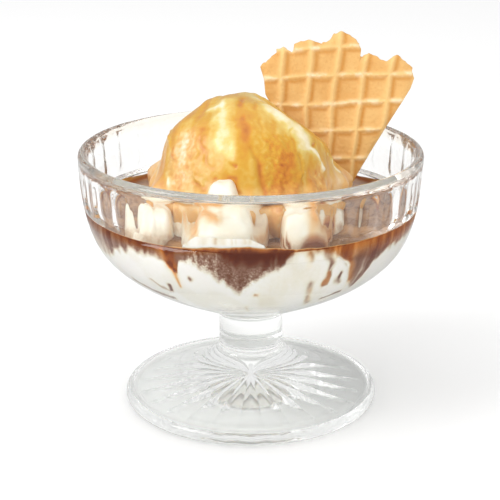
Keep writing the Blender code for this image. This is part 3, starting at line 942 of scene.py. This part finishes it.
ice_azimuth, ice_height, ice_grid = ice_cream_grid()
melting_ice_cream = make_skin("melting_ice_cream", ice_grid)
no_rows = [ice_grid[:0, :, 0]] * len(PAINTS)
ice_top = mound_paints(ice_grid[WALL_ROWS:])
paint_wall(melting_ice_cream, ice_azimuth, ice_height, no_rows, ice_top)

# %% [markdown]
# Through the middle of the foot one sees the ice cream over the stem. It is bright in the
# picture, probably with light that the glass carries up, which these lamps don't give.
# So a round patch over the stem gives off a little light of its own, which fades between
# two distances from its middle. It is a stand-in, and not a property of ice cream.

# %% Finish of the ice cream
STEM_LIGHT = shade(146, 146, 142)
STEM_LIGHT_FADE = (0.009, 0.015)
NO_LIGHT = (0.0, 0.0, 0.0, 1.0)


def finish_ice_cream(piece):
    shader, link = new_finish(
        piece,
        "melting_vanilla_ice_cream",
        Roughness=0.38,
        Emission_Strength=1.0,
        Subsurface_Weight=0.15,
        Subsurface_Radius=(0.004, 0.003, 0.002),
        Subsurface_Scale=1.0,
    )
    place = place_on(link)
    link.feed(shader.inputs["Base Color"], painted_colour(link, place))
    ends = {0: place, 1: (0.0, 0.0, INNER_BOTTOM)}
    off_stem = link.node("ShaderNodeVectorMath", {"operation": "DISTANCE"}, ends, 1)
    lit = blend(link, off_stem.between(*STEM_LIGHT_FADE), STEM_LIGHT, NO_LIGHT)
    link.feed(shader.inputs["Emission Color"], lit)
    roughen(link, shader, noise(link, place, 900.0), 0.0002, 0.3)


finish_ice_cream(melting_ice_cream)
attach(melting_ice_cream, "root")
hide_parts("ice_cream")

# %% [markdown]
# ## The coffee
# The coffee is a lid with a skirt: a flat top that climbs the glass in a thin meniscus,
# then a wall against the inside of the bowl that runs down behind the white lobes. It
# lies a shade less deep in the glass than the ice cream does, so the lobes cover it.

# %% Shape of the coffee
COFFEE_TOUCH = 0.00015
MENISCUS_WIDTH = 0.0010
POOL_ROWS = 44
POOL_CROWDING = 2.2
SKIRT_ROWS = 90
SKIRT_FOOT = 0.0480
FLOOR_RADIUS = 0.030
POOL_SHADOWS = (  # painted shade beside the mounds on the coffee: x, y, half width, half depth in mm, amount
    (17.0, -46.0, 5.5, 3.0, 0.9),
    (4.6, -47.0, 1.5, 2.0, 0.7),
    (30.5, -37.0, 5.0, 2.0, 0.8),
)


def coffee_grid():
    """A top with an exponential rise at the wall, a wall, and a floor back to the axis."""
    azimuth = azimuths(FOOD_COLUMNS, FRONT_CROWDING)
    shares = np.linspace(1.0, 0.0, SKIRT_ROWS)
    rows = wall_rows(SKIRT_FOOT, line_height(azimuth), shares)
    radius, height, out_radius, out_height = rows
    radius = radius + out_radius * COFFEE_TOUCH
    height = height + out_height * COFFEE_TOUCH
    skirt = swept(radius, height, azimuth)
    in_from = np.linspace(1.0, 0.0, POOL_ROWS)[:-1, None] ** POOL_CROWDING
    top_radius = radius[:1] * (1.0 - in_from)
    rise = (height[:1] - COFFEE_LEVEL) * np.exp((top_radius - radius[:1]) / MENISCUS_WIDTH)
    pool = swept(top_radius, COFFEE_LEVEL + rise, azimuth)
    floor = swept(np.array([[FLOOR_RADIUS], [0.0]]), SKIRT_FOOT, azimuth)
    return azimuth, height, pool, skirt, floor


def pool_paints(pool):
    """Bell-shaped painted shade on the pool's top, stored as coffee; no gold and no froth."""
    dark = 0.0 * pool[..., 0]
    for x, y, half_width, half_depth, amount in POOL_SHADOWS:
        off = (pool[..., :2] / MM - (x, y)) / (half_width, half_depth)
        dark = dark + amount * np.exp(-(off**2).sum(axis=-1))
    return dark, 0.0 * dark, 0.0 * dark


coffee_azimuth, coffee_height, *coffee_rows = coffee_grid()
coffee_pool = make_skin("coffee_pool", np.concatenate(coffee_rows))
on_pool = pool_paints(coffee_rows[0])
on_floor = pool_paints(0.0 * coffee_rows[-1])
paint_wall(coffee_pool, coffee_azimuth, coffee_height, on_pool, on_floor)
on_top = [np.full(rows.shape[:2], float(rows is coffee_rows[0])) for rows in coffee_rows]
paint(coffee_pool, "top", np.concatenate(on_top))

# %% [markdown]
# The top of the coffee is glossy, with a skin of pale crema that drifts in bands, and a
# line of gold where it climbs the glass. The skirt has no shine of its own, because the
# glass touches it: the shine is a coat, painted on the top alone.

# %% Finish of the coffee
def finish_coffee(piece):
    shader, link = new_finish(
        piece,
        "coffee_with_crema",
        Roughness=0.5,
        Specular_IOR_Level=0.0,
        Coat_Roughness=0.05,
        Coat_IOR=1.34,
    )
    place = place_on(link)
    height = height_of(link, place)
    top = painted(link, "top")
    drift = noise(link, stretched(link, place, (60.0, 110.0, 60.0)), 1.0).between(0.35, 0.65)
    surface = blend(link, drift, shade(124, 84, 54), shade(180, 138, 98))
    # painted shade beside the mounds, stored as coffee on the pool's top
    surface = blend(link, painted(link, "coffee"), surface, shade(70, 40, 26))
    climb = height.between(COFFEE_LEVEL + 0.0001, COFFEE_LEVEL + 0.0007)
    surface = blend(link, climb, surface, shade(146, 82, 34))
    rim = height.between(COFFEE_LEVEL + 0.0008, COFFEE_LEVEL + 0.0024)
    surface = blend(link, rim, surface, shade(232, 176, 92))
    colour = blend(link, top, painted_colour(link, place), surface)
    link.feed(shader.inputs["Base Color"], colour)
    link.feed(shader.inputs["Coat Weight"], top * 0.75)


finish_coffee(coffee_pool)
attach(coffee_pool, "root")
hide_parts("coffee")

# %% [markdown]
# ## The glazed scoop
# The scoop is a ball pressed onto the rest, with the ragged skirt that a scoop's edge
# leaves. The coffee has run down it in bands: where a trail of glaze is thick it is
# amber and lies in a shallow groove, and where the ice cream has been wiped bare it is
# pale and stands a little higher. Painting each trail as a path over the ball, with a
# width, an amount of glaze and a height, keeps shape and colour in step.

# %% Trails over the scoop
SCOOP_CENTRE = np.array([-0.0015, 0.0, 0.0754])
SCOOP_RADIUS = 0.0290
FLATS = (  # where each scraped flat faces, and how deep it cuts
    ((0.58, 0.15, 0.80), 0.0039),
    ((0.10, 0.00, 1.00), 0.0010),
)
FLAT_SOFTNESS = 0.0005
FRONT = -1.0
BACK = 1.0
GLAZE_TRAILS = (  # (face, path as (x, height), width, glaze, height), all in millimetres
    (FRONT, ((-3.5, 104), (-2.4, 98), (-0.4, 93), (2.0, 89), (3.2, 80)), 1.1, 0.18, -0.35),
    (FRONT, ((0.5, 103.5), (3.2, 98.4), (5.5, 94)), 0.8, 0.12, -0.15),
    (FRONT, ((-9, 103), (-10, 98), (-9, 93)), 2.6, -0.36, 0.25),
    (FRONT, ((-1.4, 103.5), (0.6, 97)), 1.2, -0.08, 0.05),
    (FRONT, ((8, 101.5), (13, 97), (18, 91)), 4.2, -0.42, 0.20),
    (FRONT, ((12.6, 98), (13.4, 92)), 0.6, 0.20, -0.20),
    (FRONT, ((8.5, 90), (9.0, 80)), 5.2, 0.15, 0.00),
    (FRONT, ((2.6, 88), (3.8, 80)), 1.6, 0.20, -0.10),
    (FRONT, ((14.6, 90), (15.3, 80)), 0.8, 0.10, -0.30),
    # a painted highlight: less glaze, so paler, at the top left where the window shines
    (FRONT, ((-12.5, 101.3), (-9.5, 102.6)), 1.4, -0.30, 0.10),
    # paler over the left shoulder
    (FRONT, ((-19, 97), (-22, 90)), 3.5, -0.18, 0.00),
    (FRONT, ((-6, 94), (-7, 88)), 3.0, -0.03, 0.00),
    (FRONT, ((19.6, 89.5), (21.5, 86.5), (23, 84)), 0.8, -0.60, 0.50),
    (FRONT, ((25.0, 86), (26.5, 82), (28, 79)), 0.8, -0.45, 0.30),
    (FRONT, ((-24.5, 90), (-23, 83)), 0.8, 0.20, -0.20),
    (FRONT, ((-20, 95), (-19, 88), (-19.5, 83)), 0.6, 0.18, -0.15),
    (FRONT, ((-15.5, 96), (-14.5, 91), (-12.5, 87)), 0.9, 0.18, -0.20),
    (FRONT, ((-14.5, 82), (-12.5, 84.6), (-8.5, 85.2), (-5, 84), (-3.5, 80)), 0.7, 0.32, -0.20),
    (FRONT, ((-18, 80.5), (-14, 81)), 1.0, 0.25, -0.20),
    (FRONT, ((-26, 82), (-25, 80)), 1.0, -0.50, 0.30),
    (FRONT, ((-6.0, 88.2), (-5.6, 88.0)), 0.6, 0.38, -0.50),
    (FRONT, ((20.2, 90.5), (20.6, 90.2)), 0.7, 0.50, -0.70),
    (FRONT, ((18, 88), (19, 80)), 1.6, 0.10, 0.00),
    (BACK, ((-8, 103), (-10, 95), (-12, 84)), 1.6, 0.28, -0.40),
    (BACK, ((4, 104), (6, 95), (5, 84)), 3.2, -0.25, 0.30),
    (BACK, ((14, 98), (18, 88), (20, 82)), 1.4, 0.28, -0.30),
    (BACK, ((-20, 94), (-23, 84)), 2.4, -0.28, 0.30),
    (BACK, ((-1, 90), (0, 80)), 5.0, 0.22, 0.00),
    (BACK, ((11, 92), (12, 82)), 0.8, 0.30, -0.30),
)
FOLDS = (  # curled edges of dragged ice cream: (face, path, width, height)
    (FRONT, ((12.8, 81), (13.6, 83.2), (16, 84.2), (18.6, 83), (19.2, 80.6), (16, 79.4)), 0.7, 0.6),
    (FRONT, ((21.5, 92), (23.6, 88), (26, 84)), 0.7, 0.5),
    (FRONT, ((-26, 91), (-24, 87), (-22, 81)), 0.8, 0.5),
    (FRONT, ((-17, 90), (-18, 86), (-16, 82)), 0.9, 0.4),
    (BACK, ((-16, 90), (-14, 84), (-8, 82)), 0.9, 0.5),
    (BACK, ((8, 86), (16, 84), (22, 86)), 0.8, 0.5),
)
ROUGH_TRAILS = (  # crumbly, icy stretches: (face, path, width, paleness)
    (FRONT, ((8.5, 91), (9, 80)), 5.2, 0.0),
    (FRONT, ((-21, 91), (-22, 82)), 5.5, 1.0),
    (FRONT, ((-12, 82), (-9, 80)), 2.5, 1.0),
    (FRONT, ((22, 84), (20, 79)), 3.0, 0.5),
    (BACK, ((-4, 88), (2, 80)), 6.0, 0.4),
    (BACK, ((20, 84), (12, 80)), 5.0, 0.8),
)


def ball_point(face, x, height):
    """The point of the ball, from its middle, that has a given x and height (mm)."""
    across = x * MM - SCOOP_CENTRE[0]
    up = height * MM - SCOOP_CENTRE[2]
    deep = math.sqrt(max(SCOOP_RADIUS**2 - across**2 - up**2, 0.0))
    return np.array([across, face * deep, up])


def trail(points, face, path, width):
    """1 on a path over the ball, falling to 0 as a bell curve of the distance."""
    knots = [ball_point(face, *knot) for knot in path]
    return bell(distance_to_path(points, knots), width * MM)


# %% [markdown]
# Three paints and one relief cover the ball: the glaze, the crumbly roughness, and how
# milky the torn ice cream is. Streaks that follow the drag of the scoop come first, and
# the trails are added over them, each read at places that wander a little, so that none
# has a ruled edge.

# %% Glaze and relief of the scoop
SCOOP_COLUMNS = 456
SCOOP_CROWDING = 0.35
SCOOP_ROWS = 210
LOWEST_ANGLE = math.radians(108.0)
SKIRT_TOP = 0.0830
DRAG_LEAN = math.radians(50.0)


def drag_place(ball):
    """Coordinates that change fast round a pole behind the top, and slowly down from it.

    Noise read there comes out as streaks that fan out from that pole, as ice cream
    does when a scoop drags over it. The second value fades the streaks at the pole.
    """
    sine, cosine = math.sin(DRAG_LEAN), math.cos(DRAG_LEAN)
    x, y, z = np.moveaxis(ball / SCOOP_RADIUS, -1, 0)
    across, down = x, y * cosine - z * sine
    level = np.sqrt(across**2 + down**2) + 1e-6
    around = flat_points(across / level, down / level)
    return SCOOP_RADIUS * (around + 0.25 * ball / SCOOP_RADIUS), smooth(level / 0.6)


def scraped(ball):
    """How far the surface lies inside the ball where it was scraped flat.

    A plane at a given depth cuts the ray to each point at its distance over the cosine
    of the angle between them; a soft minimum joins the plane to the ball.
    """
    lost = 0.0
    for faces, depth in FLATS:
        facing = ball @ np.array(faces) / np.linalg.norm(faces) / SCOOP_RADIUS
        short = (SCOOP_RADIUS - depth) / np.maximum(facing, 0.5) - SCOOP_RADIUS
        lost = lost + (short - np.sqrt(short**2 + FLAT_SOFTNESS**2)) / 2.0
    return lost


def scoop_fields():
    """The ball's grid: its two angles, its relief and its three paints."""
    azimuth = azimuths(SCOOP_COLUMNS, SCOOP_CROWDING)
    polar = np.linspace(0.0, LOWEST_ANGLE, SCOOP_ROWS)[:, None]
    ball = SCOOP_RADIUS * swept(np.sin(polar), np.cos(polar), azimuth)
    drag, fade = drag_place(ball)
    wander = 0.0006 * np.stack([waves(k, 0.007)(ball) for k in (31, 32, 33)], -1)
    glaze = 0.50 + fade * (0.05 * waves(11, 0.012)(drag) + 0.035 * waves(12, 0.004)(drag))
    relief = 0.00025 * waves(13, 0.016)(ball) + fade * 0.00007 * waves(14, 0.005)(drag)
    relief = relief + scraped(ball)
    for face, path, width, amount, height in GLAZE_TRAILS:
        here = trail(ball + wander, face, path, width)
        glaze = glaze + amount * here
        relief = relief + height * MM * here
    for face, path, width, height in FOLDS:
        relief = relief + height * MM * trail(ball + wander, face, path, width)
    rough = np.zeros_like(glaze)
    milky = 0.75 * smooth((SKIRT_TOP - SCOOP_CENTRE[2] - ball[..., 2]) / 0.0060)
    for face, path, width, paleness in ROUGH_TRAILS:
        here = trail(ball + wander, face, path, width)
        rough = np.maximum(rough, here)
        milky = np.maximum(milky, paleness * here)
    grains = waves(15, 0.0020, 60)(ball) + waves(16, 0.0011, 60)(ball)
    relief = relief + rough * 0.00007 * grains
    glaze = glaze + (0.015 + 0.045 * rough) * waves(17, 0.0022, 60)(ball)
    glaze = glaze + 0.015 * waves(19, 0.0045, 60)(ball)
    paints = {"glaze": np.clip(glaze, 0.0, 1.0), "rough": rough, "milky": milky}
    return azimuth, polar, relief, paints


# %% [markdown]
# Lower down the ball flares into its skirt, whose edge two sine waves of the azimuth and
# a random one make ragged. A last few rows close it just under the coffee's surface.

# %% Shape of the scoop
SKIRT_DROP = 0.0085
SKIRT_FLARE = 0.0036
SCOOP_BOTTOM = 0.0645
CLOSING_SHARES = (0.6, 0.3, 0.0)


def scoop_grid(azimuth, polar, relief):
    """A ball that flares below SKIRT_TOP, moved along its own outward direction."""
    level = np.sin(polar) + 0.0 * azimuth
    rise = np.cos(polar) + 0.0 * azimuth
    low = smooth((SKIRT_TOP - SCOOP_CENTRE[2] - SCOOP_RADIUS * rise) / SKIRT_DROP)
    turn = azimuth - math.pi / 2.0
    ragged = 0.5 * np.sin(5 * turn + 0.6) + 0.5 * np.sin(9 * turn + 2.0)
    ring = swept(SCOOP_RADIUS, 0.0 * azimuth, azimuth)
    lobes = 0.0010 * low * waves(18, 0.006)(ring)
    reach = SCOOP_RADIUS + SKIRT_FLARE * low * (1.0 + 0.35 * ragged) * level + relief + lobes
    height = SCOOP_CENTRE[2] + (SCOOP_RADIUS + relief) * rise
    outside = swept(reach * level, height, azimuth)
    below = outside[-1:] * np.array(CLOSING_SHARES)[:, None, None]
    below[..., 2] = SCOOP_BOTTOM
    grid = np.concatenate([outside, below])
    grid[..., :2] += SCOOP_CENTRE[:2]
    return grid


scoop_azimuth, scoop_polar, scoop_relief, scoop_paints = scoop_fields()
glazed_scoop = make_skin("glazed_scoop", scoop_grid(scoop_azimuth, scoop_polar, scoop_relief))
for paint_name, values in scoop_paints.items():
    closing = np.repeat(values[-1:], len(CLOSING_SHARES), axis=0)
    paint(glazed_scoop, paint_name, np.concatenate([values, closing]))

# %% [markdown]
# The finish reads the amount of glaze and turns it into a colour with a ramp: bare ice
# cream is ivory, a thin film is straw yellow, and a thick one amber to brown. Where the
# ice cream was torn it is icy, paler and pinker, and too rough to shine.

# %% Finish of the scoop
GLAZE_STOPS = (
    (0.05, shade(240, 228, 194)),
    (0.28, shade(222, 196, 110)),
    (0.50, shade(210, 158, 46)),
    (0.72, shade(202, 130, 36)),
    (0.90, shade(184, 104, 28)),
    (1.00, shade(150, 76, 20)),
)
MILKY_STOPS = (
    (0.10, shade(248, 234, 212)),
    (0.50, shade(238, 190, 126)),
    (0.90, shade(206, 132, 66)),
)


def finish_scoop(piece):
    shader, link = new_finish(
        piece,
        "amber_coffee_glaze",
        Subsurface_Weight=0.10,
        Subsurface_Radius=(0.003, 0.002, 0.001),
        Subsurface_Scale=1.0,
        Coat_Roughness=0.12,
    )
    place = place_on(link)
    rough = painted(link, "rough")
    fine = noise(link, place, 900.0, detail=3.0)
    glaze = painted(link, "glaze") + (fine - 0.5) * (0.16 + 0.30 * rough)
    thin, torn = (ramp(link, stops, glaze) for stops in (GLAZE_STOPS, MILKY_STOPS))
    link.feed(shader.inputs["Base Color"], blend(link, painted(link, "milky"), thin, torn))
    link.feed(shader.inputs["Roughness"], 0.38 + 0.15 * rough)
    link.feed(shader.inputs["Coat Weight"], 0.28 - 0.20 * rough)
    roughen(link, shader, noise(link, place, 800.0, detail=5.0), 0.0003, 0.35)


finish_scoop(glazed_scoop)
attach(glazed_scoop, "root")
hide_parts("top_scoop")

# %% [markdown]
# ## The wafer
# A broken piece of a rolled cone, pressed with a grid of ribs on both faces. The grid of
# points is stretched between four edges: two straight sides, the tip and the ragged top.
# Each ring of the skin goes across the front, round one side, across the back and round
# the other, so the ribs are only a height added to each face. At the tip and the top
# the two faces meet, and their doubled points are merged there.

# %% Outline of the wafer
WAFER_PLACE = np.array([0.0338, 0.0187, 0.0690])
WAFER_LEAN = math.radians(12.0)
WAFER_TURN = math.radians(5.0)
HALF_THICKNESS = 0.0010
LEFT_SIDE = (  # this and the next two: (across, up) from the wafer's place, in metres
    (-0.0300, 0.0402), (-0.0288, 0.0360), (-0.0284, 0.0310), (-0.0245, 0.0235),
    (-0.0160, 0.0140), (-0.0100, 0.0010), (-0.0078, -0.0060), (-0.0048, -0.0080),
)
RIGHT_SIDE = (
    (0.0222, 0.0355), (0.0208, 0.0318), (0.0122, 0.0188), (0.0028, 0.0038),
    (-0.0012, -0.0030), (-0.0046, -0.0080),
)
BROKEN_TOP = (
    (-0.0300, 0.0402), (-0.0262, 0.0431), (-0.0240, 0.0459), (-0.0221, 0.0467),
    (-0.0190, 0.0446), (-0.0182, 0.0474), (-0.0158, 0.0485), (-0.0122, 0.0486),
    (-0.0093, 0.0476), (-0.0062, 0.0485), (-0.0046, 0.0508), (-0.0022, 0.0515),
    (0.0003, 0.0505), (0.0036, 0.0476), (0.0040, 0.0457), (0.0033, 0.0438),
    (0.0046, 0.0430), (0.0067, 0.0441), (0.0090, 0.0433), (0.0108, 0.0418),
    (0.0134, 0.0418), (0.0161, 0.0435), (0.0188, 0.0415), (0.0216, 0.0388),
    (0.0222, 0.0355),
)


def crumbled(points):
    """An outline moved by small random waves, as where a wafer has snapped."""
    flat = flat_points(*points.T)
    moves = np.column_stack([waves(51, 0.0022)(flat), waves(52, 0.0022)(flat)])
    return points + 0.00014 * moves


def wafer_sheet(rows, columns):
    """Points (across, up) filling the outline: a blend of its sides and its top.

    Each row runs from the left side to the right side. The top's departure from a
    straight line between its ends fades in with the fourth power of the height.
    """
    left = stations(LEFT_SIDE[::-1], rows)[:, None]
    right = stations(RIGHT_SIDE[::-1], rows)[:, None]
    top = crumbled(stations(BROKEN_TOP, columns))[None]
    share = np.linspace(0.0, 1.0, columns)[None, :, None]
    up = np.linspace(0.0, 1.0, rows)[:, None, None]
    straight = left + (right - left) * share
    ends = top[:, :1] + (top[:, -1:] - top[:, :1]) * share
    return straight + (top - ends) * up**4


# %% [markdown]
# The ribs come from an iron: one set runs up and fans out, the other lies across. Each
# point's distance to the nearest rib of a set is a remainder, as with the teeth of a
# comb, and a bell curve of it is the rib. The paints follow the same distances: the
# crests, painted paler partly as highlight, painted shade beside and beneath the ribs,
# and flour with painted glints on the level ones.

# %% Ribs of the wafer
RIB_HEIGHT = 0.0009
RIB_PITCH = 0.0093
RIB_PHASE = (-0.0037, -0.0003)
RIB_SPREAD = 0.00105
LEVEL_SPREAD = 0.8 * RIB_SPREAD
SHADE_BESIDE = (0.0017, 0.0010)  # how far off a rib its painted shade lies, and how wide it is
SHADE_BENEATH = (-0.0015, 0.0007)
RIB_SLANT = 0.135
RIB_FAN = 2.2  # more slant per metre across
RIB_TILT = 0.014


def from_rib(place, pitch):
    """Signed distance to the nearest of the evenly spaced ribs."""
    return (place + pitch / 2.0) % pitch - pitch / 2.0


def rib_places(across, up):
    """Signed distances to the nearest upright rib and to the nearest level rib."""
    bend = 0.00018 * waves(53, 0.014)(flat_points(across, up))
    slant = RIB_SLANT + RIB_FAN * across
    upright = across + slant * (0.0440 - up) - RIB_PHASE[0] + bend
    level = up - RIB_TILT * across - RIB_PHASE[1] + bend
    return from_rib(upright, RIB_PITCH), from_rib(level, RIB_PITCH)


def wafer_faces(rows=200, columns=240):
    """Grids of the front: its place, its thickness, and its three paints.

    The thickness is that of the sheet and its ribs, rounded off towards the sides and
    the top by the square root of the distance to them.
    """
    sheet = wafer_sheet(rows, columns)
    across, up = sheet[..., 0], sheet[..., 1]
    off_upright, off_level = rib_places(across, up)
    level_rib = bell(off_level, LEVEL_SPREAD)
    crest = np.maximum(bell(off_upright, RIB_SPREAD), level_rib)
    # painted shade: a darker band right of each upright rib and under each level one, the sides
    # away from the light
    beside = bell(off_upright - SHADE_BESIDE[0], SHADE_BESIDE[1])
    beneath = 0.8 * bell(off_level - SHADE_BENEATH[0], SHADE_BENEATH[1])
    lee = np.maximum(beside, beneath) * (1.0 - crest)
    breadth = np.linalg.norm(sheet[:, -1] - sheet[:, 0], axis=-1)[:, None]
    share = np.linspace(0.0, 1.0, columns)[None, :]
    length = np.linalg.norm(sheet[-1] - sheet[0], axis=-1)[None, :]
    to_side = np.minimum(share, 1.0 - share) * breadth
    to_top = np.linspace(1.0, 0.0, rows)[:, None] * length
    near = np.clip(np.minimum(to_side, to_top) / (1.5 * HALF_THICKNESS), 0.0, 1.0)
    thick = (HALF_THICKNESS + RIB_HEIGHT * crest) * (0.25 + 0.75 * np.sqrt(near))
    return across, up, thick, {"crest": crest, "lee": lee, "flour": level_rib}


# %% [markdown]
# The front and the back stand a thickness either side of the sheet, which is a little
# bowed. The grid is closed into rings, stood up in the glass and leaned back.

# %% Shape of the wafer
MERGE_DISTANCE = 1e-7


def ringed(front, back):
    """Each row once across the front and back across the back, with the ends doubled."""
    ring = np.concatenate([front, back[:, ::-1]], axis=1)
    return np.concatenate([ring[:1], ring, ring[-1:]])


def stood_up(ring):
    """(across, up, out) turned and leaned to the wafer's place in the glass."""
    right = np.array([math.cos(WAFER_TURN), math.sin(WAFER_TURN), 0.0])
    lean = math.sin(WAFER_LEAN)
    upward = np.array([-right[1] * lean, right[0] * lean, math.cos(WAFER_LEAN)])
    return WAFER_PLACE + ring @ np.array([right, upward, np.cross(right, upward)])


def wafer_grid(across, up, thick):
    """Front and back, a thickness either side of the sheet; the end rows have none."""
    flat = flat_points(across, up)
    bow = 0.0005 * waves(54, 0.030)(flat)
    grain = 0.00004 * waves(55, 0.0016, 60)(flat)
    front = np.stack([across, up, bow + thick + grain], -1)
    back = np.stack([across, up, bow - thick - grain], -1)
    ring = ringed(front, back)
    for end, row in ((0, 1), (-1, -2)):
        ring[end] = (ring[row] + ring[row, ::-1]) / 2.0
    return stood_up(ring)


def merge_doubles(piece):
    """Joins the points of a mesh that lie within MERGE_DISTANCE of each other."""
    work = bmesh.new()
    work.from_mesh(piece.data)
    bmesh.ops.remove_doubles(work, verts=work.verts, dist=MERGE_DISTANCE)
    work.to_mesh(piece.data)
    work.free()
    print(f"{piece.name}: {len(piece.data.vertices)} points once its faces meet")


wafer_across, wafer_up, wafer_thick, wafer_paints = wafer_faces()
wafer_skin = wafer_grid(wafer_across, wafer_up, wafer_thick)
wafer_piece = make_skin("wafer_piece", wafer_skin, poles=False)
for paint_name, values in wafer_paints.items():
    paint(wafer_piece, paint_name, ringed(values, values), poles=False)
merge_doubles(wafer_piece)

# %% [markdown]
# The cells are peachy brown and the ribs straw coloured. The crests are painted paler,
# partly as highlight, and the level ribs carry flour with painted glints. Beside and
# under the ribs lies painted shade in a dark amber.

# %% Finish of the wafer
def finish_wafer(piece):
    shader, link = new_finish(piece, "baked_wafer", Roughness=0.6)
    place = place_on(link)
    toast = noise(link, place, 110.0).between(0.3, 0.7)
    specks = noise(link, place, 1400.0, detail=2.0).between(0.55, 0.75)
    cell = blend(link, toast, shade(221, 168, 97), shade(231, 185, 116))
    cell = blend(link, specks * 0.5, cell, shade(213, 153, 84))
    # painted shade beside and under the ribs
    lee = painted(link, "lee") * (0.7 + toast * 0.3)
    colour = blend(link, lee, cell, shade(204, 138, 54))
    # the crests painted paler, partly as highlight
    colour = blend(link, painted(link, "crest") * 0.85, colour, shade(238, 198, 130))
    # flour on the level ribs, partly painted glints
    dusted_and_glinting = noise(link, place, 200.0).between(0.45, 0.66) * painted(link, "flour")
    colour = blend(link, dusted_and_glinting * 0.8, colour, shade(250, 230, 194))
    link.feed(shader.inputs["Base Color"], colour)
    roughen(link, shader, noise(link, place, 1200.0), 0.0002, 0.5)


finish_wafer(wafer_piece)
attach(wafer_piece, "root")
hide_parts("wafer")

# %% [markdown]
# ## Floor and light
# A pale floor and a bright, even surround keep clear glass bright: every ray that it
# bends ends on something pale. A studio also keeps what the glass mirrors dark, so that
# its edges are drawn in grey and the drinks behind it keep their depth. The Light Path
# node tells a mirrored ray from the others, and both the floor and the surround answer
# it with less light.

# %% Mirrored rays
MIRRORED = 0.60  # of the light that other rays find


def mirrored_ray(link):
    """1 for a ray that was mirrored and not let through, 0 for any other."""
    glossy = link.node("ShaderNodeLightPath", output="Is Glossy Ray")
    through = link.node("ShaderNodeLightPath", output="Is Transmission Ray")
    return glossy * (1.0 - through)


# %% [markdown]
# The floor is one large square. It lies a hair below the foot, so that the two don't
# share a plane.

# %% Floor
FLOOR_SIDE = 12.0
FLOOR_DROP = 0.0002


def finish_floor(piece):
    shader, link = new_finish(
        piece, "pale_floor", Base_Color=shade(252, 252, 252), Roughness=0.9
    )
    dark = link.node("ShaderNodeBsdfDiffuse", inputs={"Color": shade(60, 60, 60)})
    share_surface(link, mirrored_ray(link) * (1.0 - MIRRORED), shader, dark)


def make_floor():
    half = FLOOR_SIDE / 2.0
    corners = [(-half, -half), (half, -half), (half, half), (-half, half)]
    mesh = bpy.data.meshes.new("floor")
    mesh.from_pydata([(x, y, -FLOOR_DROP) for x, y in corners], [], [(0, 1, 2, 3)])
    floor = add_object("floor", mesh)
    finish_floor(floor)
    return floor


make_floor()

# %% [markdown]
# Three soft lights: a window from the upper left, whose shadow falls to the right, a
# broad ceiling, and a low strip in front, which lights the food under the rim and is
# kept out of what the glass shows.

# %% Lights
CENTRE = (0.0, 0.0, 0.06)


def softbox(name, place, size, watts, seen=True):
    """A rectangular area light that faces CENTRE; seen lets the glass show it."""
    data = bpy.data.lights.new(name, "AREA")
    data.shape = "RECTANGLE"
    data.size, data.size_y = size
    data.energy = watts
    light = add_object(name, data)
    light.visible_glossy = light.visible_transmission = seen
    light.location = place
    away = np.array(place) - np.array(CENTRE)
    tilt = math.acos(away[2] / np.linalg.norm(away))
    light.rotation_euler = (tilt, 0.0, math.atan2(away[0], -away[1]))


softbox("window", (-0.75, -0.35, 0.75), (0.5, 0.6), 4.6)
softbox("ceiling", (0.0, 0.2, 1.2), (1.2, 1.2), 2.2)
softbox("fill", (0.20, -0.9, 0.12), (1.2, 0.2), 3.0, seen=False)

# %% [markdown]
# The surround gives the rest of the light. Light that looks through this glass crosses
# many walls and is mirrored inside them many times, so it may bounce far more often than
# in a scene without glass before it is given up.

# %% Surround and bounces
SURROUND = 0.86
GLASS_BOUNCES = 64

world = bpy.data.worlds.new("surround")
world.use_nodes = True
surround = Link(world.node_tree)
background = world.node_tree.nodes["Background"]
surround.feed(background.inputs["Color"], (1.0, 1.0, 1.0, 1.0))
dimmed = 1.0 - mirrored_ray(surround) * (1.0 - MIRRORED)
surround.feed(background.inputs["Strength"], dimmed * SURROUND)
bpy.context.scene.world = world
bpy.context.scene.view_settings.view_transform = "Standard"
cycles = bpy.context.scene.cycles
cycles.max_bounces = GLASS_BOUNCES
cycles.transmission_bounces = GLASS_BOUNCES
cycles.glossy_bounces = GLASS_BOUNCES
cycles.diffuse_bounces = 5
cycles.transparent_max_bounces = 24
